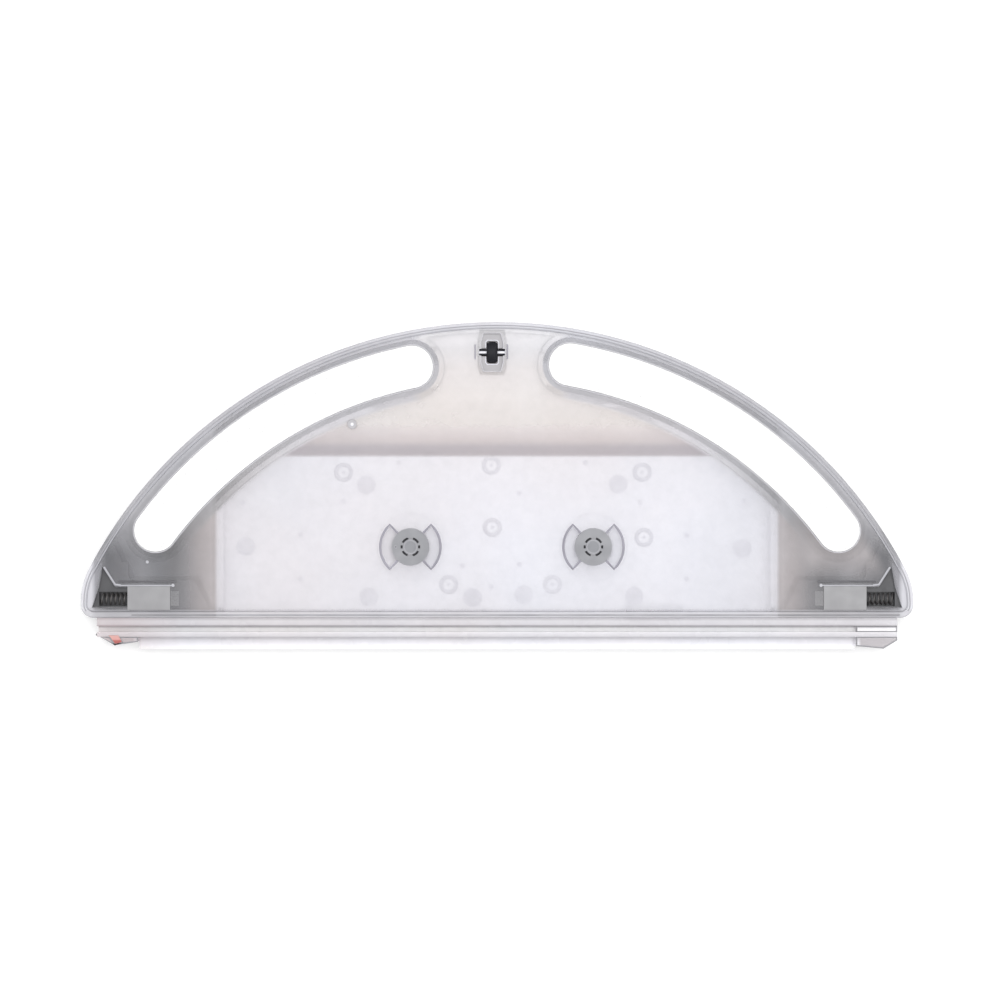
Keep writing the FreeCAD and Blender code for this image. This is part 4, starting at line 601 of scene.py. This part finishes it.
LINE, DISC, COIL, HOOK = line_tree(), disc_tree(), coil_tree(), hook_tree()
print("geometry trees", [tree.name for tree in (LINE, DISC, COIL, HOOK)])

# %% [markdown]
# ## From a tree to a plain piece
# A modifier would work anew at each change, and the export needs real meshes. So a tree runs
# once over a start mesh, its result is copied into a new piece, and the start is removed. The
# piece then rides on the body that carries it.

# %% Growing pieces


def keep(name, mesh, body):
    """Object from a mesh whose faces are turned outwards, which moves with a body."""
    tidy = bmesh.new()
    tidy.from_mesh(mesh)
    bmesh.ops.recalc_face_normals(tidy, faces=tidy.faces)
    tidy.to_mesh(mesh)
    tidy.free()
    piece = bpy.data.objects.new(name, mesh)
    bpy.context.scene.collection.objects.link(piece)
    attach(piece, body)
    return piece


def grow(name, start, tree, sizes, material, body):
    """Run a tree over a starting mesh, and keep the result as a plain mesh."""
    seed = bpy.data.objects.new(name + " start", start)
    bpy.context.scene.collection.objects.link(seed)
    modifier = seed.modifiers.new("shape", "NODES")
    modifier.node_group = tree
    given = {**sizes, "Material": material}
    for socket in tree.interface.items_tree:
        if socket.in_out == "INPUT" and socket.name in given:
            modifier[socket.identifier] = given[socket.name]
    shown = seed.evaluated_get(bpy.context.evaluated_depsgraph_get())
    mesh = bpy.data.meshes.new_from_object(shown)
    mesh.name = name
    bpy.data.objects.remove(seed)
    return keep(name, mesh, body)


def points_and_edges(name, corners, edges=()):
    mesh = bpy.data.meshes.new(name)
    mesh.from_pydata([tuple(part * MM for part in corner) for corner in corners], edges, [])
    return mesh


def lines(name, paths, width, low, high, material, body="tank", closed=False):
    """Bars of one width between two heights along paths, all in millimetres."""
    corners, edges = [], []
    for path in paths:
        first = len(corners)
        corners += [(x, y, (low + high) / 2) for x, y in path]
        edges += [(first + number, first + number + 1) for number in range(len(path) - 1)]
        if closed:
            edges.append((first + len(path) - 1, first))
    return grow(name, points_and_edges(name, corners, edges), LINE,
                {"Width": width * MM, "Height": (high - low) * MM}, material, body)


def discs(name, places, radius, low, high, material, body="tank"):
    """Flat discs between two heights, in millimetres."""
    points = points_and_edges(name, [(x, y, (low + high) / 2) for x, y in places])
    return grow(name, points, DISC, {"Radius": radius * MM, "Height": (high - low) * MM},
                material, body)


def slab(name, outlines, low, high, material):
    """Flat plates on the tank between two heights, in millimetres."""
    corners, faces = [], []
    for outline in outlines:
        first, count = len(corners), len(outline)
        corners += [(x, y, low) for x, y in outline] + [(x, y, high) for x, y in outline]
        faces += [tuple(range(first, first + count)),
                  tuple(range(first + count, first + 2 * count))]
        for number in range(count):
            here, there = first + number, first + (number + 1) % count
            faces.append((here, there, there + count, here + count))
    mesh = bpy.data.meshes.new(name)
    mesh.from_pydata([tuple(part * MM for part in corner) for corner in corners], [], faces)
    mesh.materials.append(material)
    return keep(name, mesh, "tank")


# %% [markdown]
# ## Outlines of the solids
# The photo shows many thin lines: the groove round the plate, the edges of recesses and the
# walls inside. The outlines that they follow are read from the frame's own meshes, so a line
# always lies on the edge that it belongs to.

# %% Outline helpers


def level_loops(node, level):
    """Closed outlines, in millimetres, of a node's flat faces at one height. The flat face
    lies on the left of each."""
    mesh = bmesh.new()
    mesh.from_mesh(node.data)
    mesh.transform(node.matrix_world)
    bmesh.ops.remove_doubles(mesh, verts=mesh.verts, dist=1e-6)
    flat = {face for face in mesh.faces
            if face.normal.z > 0.99 and abs(face.calc_center_median().z - level * MM) < 2e-5}
    follows = {}
    for face in flat:
        for corner in face.loops:
            if sum(other in flat for other in corner.edge.link_faces) == 1:
                follows[corner.vert] = corner.link_loop_next.vert
    outlines = []
    while follows:
        start, here = follows.popitem()
        trail = [start]
        while here is not start and here in follows:
            trail.append(here)
            here = follows.pop(here)
        outlines.append([(point.co.x / MM, point.co.y / MM) for point in trail])
    mesh.free()
    return outlines


def loop_near(outlines, x, y):
    """The outline whose middle is nearest to a point."""
    def distance(outline):
        across = [point[0] for point in outline]
        along = [point[1] for point in outline]
        return math.hypot((min(across) + max(across)) / 2 - x,
                          (min(along) + max(along)) / 2 - y)
    return min(outlines, key=distance)


def shifted(path, distance, closed=False):
    """Path moved sideways, to the right where the distance is positive."""
    count = len(path)
    moved = []
    for number, point in enumerate(path):
        before = path[number - 1] if closed or number else None
        after = path[(number + 1) % count] if closed or number < count - 1 else None
        sides = []
        for first, last in ((before, point), (point, after)):
            if first is not None and last is not None:
                step = Vector((last[0] - first[0], last[1] - first[1]))
                if step.length > 1e-9:
                    step.normalize()
                    sides.append(Vector((step.y, -step.x)))
        side = sides[0] if len(sides) == 1 else (
            (sides[0] + sides[1]) / max(0.4, 1 + sides[0].dot(sides[1])))
        moved.append((point[0] + side.x * distance, point[1] + side.y * distance))
    return moved


def arc_path(x, y, radius, first, last, steps=16):
    """Points on an arc between two bearings in degrees."""
    turns = [math.radians(first + (last - first) * step / steps) for step in range(steps + 1)]
    return [(x + radius * math.cos(turn), y + radius * math.sin(turn)) for turn in turns]


def ring_path(x, y, radius, steps=24):
    return arc_path(x, y, radius, 0, 360, steps)[:-1]


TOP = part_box("base_shell")[1].z / MM
PLATE_BOTTOM = 16.0
plate_loops = level_loops(NODES["base_shell"], TOP)
wall_loops = level_loops(NODES["tray_shell"], PLATE_BOTTOM)
print("outlines of the plate", len(plate_loops), "and of the walls below it", len(wall_loops))

# %% [markdown]
# ## Finishes of the lines
# Most of these lines are painted shade in a groove, crease or slot, or a painted highlight on an
# edge, only a little darker or lighter than the plastic beside it. Each kind of line has its own
# pair of close greys, so one can change without touching the others.

# %% Finishes of the lines
# The groove, seam, crease, window, recess and slot finishes paint shade, and the bead finish
# paints highlights
groove_shade_grey = moulded("painted groove shade", tone(168, 167, 172), tone(150, 149, 154), 0.6)
seam_shade_grey = moulded("painted rim seam shade", tone(160, 159, 165), tone(150, 149, 155), 0.6)
crease_shade_grey = moulded("painted recess crease shade", tone(196, 195, 200), tone(188, 187, 192), 0.6)
# Painted highlights on edges, and real gate marks
highlight_and_gate_white = moulded("bright bead", tone(174, 174, 180), tone(166, 166, 172), 0.4, shine=0.3)
deep_shade_grey = moulded("painted window shade", tone(96, 95, 99), tone(78, 77, 81), 0.6)
# Walls and edges seen through clear plastic, and faint painted shade on the wing seams and slot
# links
faint_wall_and_shade_grey = moulded("pocket wall and painted faint shade", tone(146, 145, 149), tone(134, 133, 137), 0.6)
recess_shade_grey = moulded("painted recess floor shade", tone(168, 166, 169), tone(158, 156, 159), 0.6)
cup_grey = moulded("cup wall", tone(150, 148, 158), tone(138, 136, 146), 0.5)
ring_grey = moulded("plug ring", tone(160, 160, 166), tone(152, 152, 158), 0.5)
core_grey = moulded("plug centre", tone(124, 125, 130), tone(118, 119, 124), 0.5)
slot_shade_black = moulded("painted deep slot shade", (0.03, 0.03, 0.035), (0.04, 0.04, 0.045), 0.7, shine=0.2)
mark_grey = moulded("mould mark", tone(168, 166, 176), tone(186, 184, 192), 0.5)

# %% [markdown]
# ## Seam and bead
# The plate is welded into the rim, which leaves a fine groove with a bead beside it. Cutting the
# groove would need very fine meshes, so thin bars lie along the plate's edge: a light one is a
# painted highlight on the bead, and a grey one is painted shade in the groove. Beside the
# straight edge the painted shade of the seam is darker over the wings, where dark latches lie
# below.

# %% Seam and bead round the plate
outer_edge = loop_near(plate_loops, 0, 6)
turned = next(number for number, point in enumerate(outer_edge)
              if point[1] < -46.5 and outer_edge[number - 1][1] < -46.5)
walk = outer_edge[turned:] + outer_edge[:turned]
curved_edge = [point for point in walk if point[1] > -46.6]
# A light bar of painted highlight on the bead, and a grey bar of painted shade in the groove
lines("rim_highlight", [shifted(curved_edge, 0.4)], 0.45, TOP - 0.2, TOP + 0.03, highlight_and_gate_white)
lines("rim_seam_shade", [shifted(curved_edge, 1.25)], 0.4, TOP - 0.3, TOP + 0.02, seam_shade_grey)
SEAM_Y = -48.75
SEAM_STOPS = [(x, SEAM_Y) for x in (-138.0, -106.0, 106.0, 152.0)]
# Painted shade in the groove along the straight edge, darker over the wings
lines("front_seam_shade", [SEAM_STOPS[1:3]], 0.7, TOP - 0.1, TOP + 0.02, groove_shade_grey)
lines("wing_seam_shade", [SEAM_STOPS[:2], SEAM_STOPS[2:]], 0.7, TOP - 0.1, TOP + 0.02, faint_wall_and_shade_grey)
print("points on the curved edge", len(curved_edge))

# %% [markdown]
# ## Guide and stop of the rail
# The rail ends in a sloped guide at one side and a stop at the other. Clear plastic shows its
# edges as grey lines, so bars follow the outlines of their flat tops, just inside them.

# %% Edges of the rail's guide and stop
GUIDE_TOP = 16.4
guide_edges = [shifted(edge, -0.2, True) for edge in level_loops(NODES["cloth_rail"], GUIDE_TOP)]
lines("guide_edges", guide_edges, 0.6, GUIDE_TOP - 0.3, GUIDE_TOP + 0.02, faint_wall_and_shade_grey,
      closed=True)
print("outlines of the guide and the stop", len(guide_edges))

# %% [markdown]
# ## Recesses of the pads
# Each pad of hook tape is glued into a shallow recess of the plate, whose edge catches a little
# shade. A thin bar on the outline paints that shade evenly.

# %% Edges of the pads' recesses
pad_edges = [shifted(loop_near(plate_loops, x, 14), -0.2, True) for x in (-80, 78)]
# Painted shade along the edge of each pad's recess
lines("pad_creases", pad_edges, 0.4, TOP - 0.1, TOP + 0.02, crease_shade_grey, closed=True)

# %% [markdown]
# ## Walls seen through the plate
# The tops of the tray's walls are welded to the plate, and show through it as faint lines.
# The longest outline just below the plate belongs to the chamber's wall.

# %% Walls seen through the plate
main_wall = max(wall_loops, key=len)
lines("wall_tops", [shifted(main_wall, 0.25, True)], 0.35, PLATE_BOTTOM - 0.6,
      PLATE_BOTTOM - 0.1, faint_wall_and_shade_grey, closed=True)

# %% [markdown]
# ## Outlets
# The outlet's finger hollows are seen through a clear cup, whose wall is a soft grey line.
# The plug's ring of slots is deep, and its dark bars are painted shade, with lighter painted
# shade on the links between them. Its middle is a shade darker than its face, and a gate mark
# sits on one plug. The cup's outline also runs close round the plug, so only the stretches away
# from it get a wall line.

# %% Outlet lines
OUTLETS = {"left": (-32.7, -23.0), "right": (36.4, -23.0)}
PLUG_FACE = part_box("outlet_plug_left")[1].z / MM
SLOT_RADIUS, RING_RADIUS, CENTRE_RADIUS = 3.21, 2.5, 2.05
SLOTS = [(27, 73), (103, 150), (209, 250), (284, 328), (-10, 10), (170, 190)]
SLOT_LINKS = [(73, 103), (250, 284)]
WALL_REACH = 7.6
GATE = (-38.2, -23.0)


def stretches_away(outline, x, y, reach):
    """Stretches of a closed outline that lie further from a point than a reach."""
    far = [math.hypot(point[0] - x, point[1] - y) > reach for point in outline]
    begin = next(number for number in range(len(outline))
                 if far[number] and not far[number - 1])
    stretches, inside = [], False
    for number in list(range(begin, len(outline))) + list(range(begin)):
        if far[number] and not inside:
            stretches.append([outline[number - 1]])
        if far[number] or inside:
            stretches[-1].append(outline[number])
        inside = far[number]
    return stretches


for side, (x, y) in OUTLETS.items():
    stretches = stretches_away(loop_near(plate_loops, x, y), x, y, WALL_REACH)
    long_ones = [shifted(stretch, -0.1) for stretch in stretches if len(stretch) > 2]
    lines(f"cup_wall_{side}", long_ones, 0.85, TOP - 0.15, TOP + 0.02, cup_grey)
    print(side, "cup walls", len(long_ones))
    plug = f"outlet_{side}"
    low, high = PLUG_FACE - 0.05, PLUG_FACE + 0.01
    slots, links = ([arc_path(x, y, SLOT_RADIUS, *pair, 8) for pair in pairs]
                    for pairs in (SLOTS, SLOT_LINKS))
    # Painted shade in the deep slots, and lighter painted shade on the links between them
    lines(f"slot_shade_{side}", slots, 0.5, low, high, slot_shade_black, plug)
    lines(f"slot_links_{side}", links, 0.4, low, high, faint_wall_and_shade_grey, plug)
    lines(f"plug_ring_{side}", [ring_path(x, y, RING_RADIUS)], 0.35, low, high, ring_grey, plug,
          closed=True)
    discs(f"plug_centre_{side}", [(x, y)], CENTRE_RADIUS, low, high - 0.002, core_grey, plug)
lines("gate_mark", [ring_path(*GATE, 0.5, 14)], 0.2, PLUG_FACE - 0.05, PLUG_FACE + 0.015,
      highlight_and_gate_white, "outlet_left", closed=True)

# %% [markdown]
# ## Recess of the roller
# The roller sits in a recess with sloped corners. A lip partway down closes in round the wheel,
# and two short ribs stand at the ends of its pin. The lip is drawn from the recess's outline and
# the wheel's box, so it fits between them. The bar on the recess's edge and the lip's grey are
# painted shade, and the pale bar on the lip's edge is a painted highlight round the wheel.

# %% Recess and ribs at the roller
pocket_edge = loop_near(plate_loops, -1.9, 50.5)
# Painted shade on the recess's edge
lines("roller_crease", [shifted(pocket_edge, -0.1, True)], 0.35, TOP - 0.1, TOP + 0.02,
      crease_shade_grey, closed=True)
LIP_TOP = 16.9
# Room round the wheel sideways and endways, and how far the corners of lip and recess slope
ROOM = (0.4, 0.5)
LIP_CORNER = (0.6, 0.7)
CORNER = (0.9, 3.2)
wheel_low, wheel_high = (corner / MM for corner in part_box("roller"))
pocket_x = [point[0] for point in pocket_edge]
pocket_y = [point[1] for point in pocket_edge]
pin_low, pin_high = (corner.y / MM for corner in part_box("roller_axle"))
lips, rims = [], []
left, right = min(pocket_x), max(pocket_x)
near, far = wheel_low.x - ROOM[0], wheel_high.x + ROOM[0]
for sign, start, wall, wheel in ((1, pin_high + 0.2, max(pocket_y), wheel_high.y + ROOM[1]),
                                 (-1, pin_low - 0.2, min(pocket_y), wheel_low.y - ROOM[1])):
    rim = [(far, start), (far, wheel - sign * LIP_CORNER[1]), (far - LIP_CORNER[0], wheel),
           (near + LIP_CORNER[0], wheel), (near, wheel - sign * LIP_CORNER[1]), (near, start)]
    lips.append([(left, start), (left, wall - sign * CORNER[1]), (left + CORNER[0], wall),
                 (right - CORNER[0], wall), (right, wall - sign * CORNER[1]), (right, start)]
                + rim)
    rims.append(rim)
# The lip's grey is painted shade in the recess
slab("roller_lip", lips, LIP_TOP - 0.5, LIP_TOP, recess_shade_grey)
# The pale bar on the lip's edge is a painted highlight round the wheel
lines("roller_lip_highlight", rims, 0.4, LIP_TOP - 0.1, LIP_TOP + 0.04, button_plastic)
RIB_ENDS = (47.9, 53.4)
ribs = [[(x, y) for y in RIB_ENDS] for x in (-8.25, 3.9)]
lines("bearing_ribs", ribs, 0.5, TOP - 0.1, TOP + 0.05, cup_grey)

# %% [markdown]
# ## Marks of the mould
# Pushers and gates of the mould leave rings, discs and dots on the chamber's floor. They show
# faintly through the plate. Their places are measured in the photo.

# %% Mould marks
FLOOR = 1.8
RINGS = [(-58.7, 5.3), (55.5, 5.3), (-2.2, 8.0), (-1.8, -15.8), (56.2, -19.6), (-18.5, -37.6),
         (21.2, -37.6)]
DISCS = [(-50.0, 0.5), (46.3, 0.8), (-96.1, -23.0), (93.8, -23.8), (-49.0, -42.3),
         (-9.4, -42.6), (10.2, -41.5), (52.5, -42.1)]
DOTS = [(-37.5, 9.0), (33.7, 9.0), (-58.7, -5.9), (54.7, -6.1), (-97.2, -6.3), (94.7, -5.5),
        (-75.1, -18.5), (72.6, -18.7), (-75.1, -35.5), (72.5, -35.5), (-13.2, -30.4),
        (8.5, -29.9), (8.5, -2.8), (-2.2, -38.3)]
lines("mould_rings", [ring_path(x, y, 2.9) for x, y in RINGS], 1.5, FLOOR, FLOOR + 0.12,
      mark_grey, closed=True)
discs("mould_pips", RINGS, 0.6, FLOOR, FLOOR + 0.2, mark_grey)
discs("mould_discs", DISCS, 3.6, FLOOR, FLOOR + 0.08, mark_grey)
discs("mould_dots", DOTS, 0.9, FLOOR, FLOOR + 0.3, mark_grey)
VENT = (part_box("vent_valve")[0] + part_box("vent_valve")[1]) / 2 / MM
VENT_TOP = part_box("vent_valve")[1].z / MM
discs("vent_middle", [(VENT.x, VENT.y)], 0.6, VENT_TOP - 0.05, VENT_TOP + 0.04, button_plastic)

# %% [markdown]
# ## Windows of the latches
# A painted highlight runs along each window's back edge and ends in a small round foot, with a
# crease of painted shade above it and a dark plate of painted shade behind the lip. The two
# windows mirror each other, so their paths are written once, for the left one, and turned over
# for the right one.

# %% Beads and creases of the windows
LIP_SLOPE = [(-148.4, -30.6), (-144.2, -37.2), (-142.0, -37.5)]
LIP_LEVEL = [(-142.6, -37.55), (-122.6, -37.55)]
LIP_FOOT = (-122.3, -37.5)
CREASE = [(-143.2, -36.1), (-121.0, -36.1)]
BEHIND_LIP = [(-148.3, -30.0), (-148.1, -27.4), (-146.1, -26.4), (-142.3, -31.0),
              (-139.2, -36.3), (-143.2, -36.3)]
for side, sign in SIDES.items():
    slope, level, crease, behind = ([(-sign * x, y) for x, y in path]
                                    for path in (LIP_SLOPE, LIP_LEVEL, CREASE, BEHIND_LIP))
    # Painted highlights along the window's edge and on its foot, painted shade in the crease and
    # on a dark plate behind the lip
    lines(f"window_slope_{side}", [slope], 0.8, TOP - 0.1, TOP + 0.08, highlight_and_gate_white)
    lines(f"window_bead_{side}", [level], 0.5, TOP - 0.1, TOP + 0.06, highlight_and_gate_white)
    discs(f"window_foot_{side}", [(-sign * LIP_FOOT[0], LIP_FOOT[1])], 0.6, TOP - 0.1,
          TOP + 0.1, highlight_and_gate_white)
    lines(f"window_crease_{side}", [crease], 0.7, TOP - 0.1, TOP + 0.03, deep_shade_grey)
    slab(f"window_shade_{side}", [behind], PLATE_BOTTOM - 0.25, PLATE_BOTTOM - 0.04, deep_shade_grey)
discs("wing_gate", [(-132.0, -28.7)], 0.6, TOP - 0.1, TOP + 0.06, highlight_and_gate_white)

# %% [markdown]
# ## Springs of the latches
# The solids only carry a coarse coil, so a coil of round wire replaces each. A spring gets
# shorter as its latch is pressed.

# %% Springs of round wire
COIL_TURNS = 6.0
COIL_RADIUS = 2.0
WIRE_RADIUS = 0.32
for side in SIDES:
    low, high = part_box(f"latch_spring_{side}")
    middle = (low + high) / 2 / MM
    start = points_and_edges("spring start", [(low.x / MM + WIRE_RADIUS, middle.y, middle.z)])
    spring = grow(f"spring_{side}", start, COIL,
                  {"Turns": COIL_TURNS, "Length": high.x - low.x - 2 * WIRE_RADIUS * MM,
                   "Coil radius": COIL_RADIUS * MM, "Wire radius": WIRE_RADIUS * MM},
                  dark_steel, "tank")
    spring.data.polygons.foreach_set("use_smooth", [True] * len(spring.data.polygons))
    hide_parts(f"latch_spring_{side}")
    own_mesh(spring)
    print("spring", side, "faces", len(spring.data.polygons))

# %% [markdown]
# ## Hook tape
# The two curved pads are the hook side of hook-and-loop tape, which the cloth clings to. Its
# hooks are far too many to place by hand, so a tree scatters them over the pad's top face.
# Each is a short bent wire with few faces.

# %% Hooks on the pads
HOOK_SPACING, HOOK_WIRE, HOOK_SEED = 1.1, 0.09, 7
for side in SIDES:
    pad = NODES[f"hook_pad_{side}"]
    top = bmesh.new()
    top.from_mesh(pad.data)
    top.transform(pad.matrix_world)
    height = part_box(pad.name)[1].z
    bmesh.ops.delete(top, geom=[face for face in top.faces if face.normal.z < 0.99
                                or abs(face.calc_center_median().z - height) > 2e-5],
                     context="FACES")
    field = bpy.data.meshes.new(f"hook field {side}")
    top.to_mesh(field)
    top.free()
    sizes = {"Spacing": HOOK_SPACING * MM, "Seed": HOOK_SEED, "Wire radius": HOOK_WIRE * MM}
    hooks = grow(f"hooks_{side}", field, HOOK, sizes, hook_white, "tank")
    print("hooks", side, "faces", len(hooks.data.polygons))

# %% [markdown]
# ## Floor and light
# The floor and the world are pale and plain. Their white is only for the camera and for
# reflections, so it adds no light to the tank, and the floor still takes its shadow.

# %% Stage
FLOOR_REACH, FLOOR_DROP = 1.0, 0.3 * MM
TABLE_WHITE, TABLE_GLOW = 0.93, 0.16
SKY_LIGHT, SKY_SEEN = 0.66, 1.0
LAMP_PLACE, LAMP_WIDTH, LAMP_POWER = (0.1, 0.24, 1.55), 1.2, 19.0
floor_mesh = bpy.data.meshes.new("floor")
floor_mesh.from_pydata([(x * FLOOR_REACH, y * FLOOR_REACH, 0)
                        for x, y in ((-1, -1), (1, -1), (1, 1), (-1, 1))],
                       [], [(0, 1, 2, 3)])
floor = bpy.data.objects.new("floor", floor_mesh)
floor.location.z = -FLOOR_DROP
bpy.context.scene.collection.objects.link(floor)


def seen_directly(tree):
    """1 for what the camera, a mirror or glass shows, and 0 for light that falls on things."""
    path = add_node(tree, "ShaderNodeLightPath")
    either = calculate(tree, "MAXIMUM", path.outputs["Is Camera Ray"],
                       path.outputs["Is Glossy Ray"])
    return calculate(tree, "MAXIMUM", either, path.outputs["Is Transmission Ray"])


floor_paint, tree, output, place = new_material("white table")
matt = add_node(tree, "ShaderNodeBsdfDiffuse", {"Color": (TABLE_WHITE,) * 3 + (1,)})
glow = add_node(tree, "ShaderNodeEmission", {"Color": (1, 1, 1, 1)})
tree.links.new(calculate(tree, "MULTIPLY", seen_directly(tree), TABLE_GLOW),
               glow.inputs["Strength"])
both = add_node(tree, "ShaderNodeAddShader", {0: matt.outputs[0], 1: glow.outputs[0]})
tree.links.new(both.outputs[0], output.inputs["Surface"])
floor_mesh.materials.append(floor_paint)

world = bpy.data.worlds.new("studio")
bpy.context.scene.world = world
world.use_nodes = True
tree = world.node_tree
tree.nodes.clear()
output = add_node(tree, "ShaderNodeOutputWorld")
sky = add_node(tree, "ShaderNodeBackground", {"Color": (1, 1, 1, 1)})
level = add_node(tree, "ShaderNodeMix",
                 {"Factor": seen_directly(tree), "A": SKY_LIGHT, "B": SKY_SEEN})
tree.links.new(level.outputs["Result"], sky.inputs["Strength"])
tree.links.new(sky.outputs["Background"], output.inputs["Surface"])

lamp_data = bpy.data.lights.new("soft box", "AREA")
lamp_data.shape = "DISK"
lamp_data.size = LAMP_WIDTH
lamp_data.energy = LAMP_POWER
lamp = bpy.data.objects.new("soft box", lamp_data)
lamp.location = LAMP_PLACE
lamp.rotation_euler = (-lamp.location).to_track_quat("-Z", "Y").to_euler()
bpy.context.scene.collection.objects.link(lamp)
print("lamp", round(lamp.location.length, 2), "m from the tank")

# %% [markdown]
# ## Camera
# The photo looks straight down. The lens follows from how much of the tank the picture takes
# in and how high the camera is, so the tank keeps its place in the picture at any height.

# %% Camera
# The picture's middle lies here on the tank, and it takes in this much of it from side to side
VIEW_MIDDLE = (1.13 * MM, -5.3 * MM)
VIEW_WIDTH = 377.44 * MM
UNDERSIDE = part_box("base_shell")[1].z
CAMERA_RISE = 1.2
camera_data = bpy.data.cameras.new("camera")
camera_data.lens = camera_data.sensor_width * CAMERA_RISE / VIEW_WIDTH
camera = bpy.data.objects.new("camera", camera_data)
camera.location = (*VIEW_MIDDLE, UNDERSIDE + CAMERA_RISE)
bpy.context.scene.collection.objects.link(camera)
bpy.context.scene.camera = camera
bpy.context.scene.view_settings.view_transform = "Standard"
print("lens", round(camera_data.lens, 1))

# %% [markdown]
# ## Last update
# The scene is brought up to date once more at the end.

# %% Finish
bpy.context.view_layer.update()
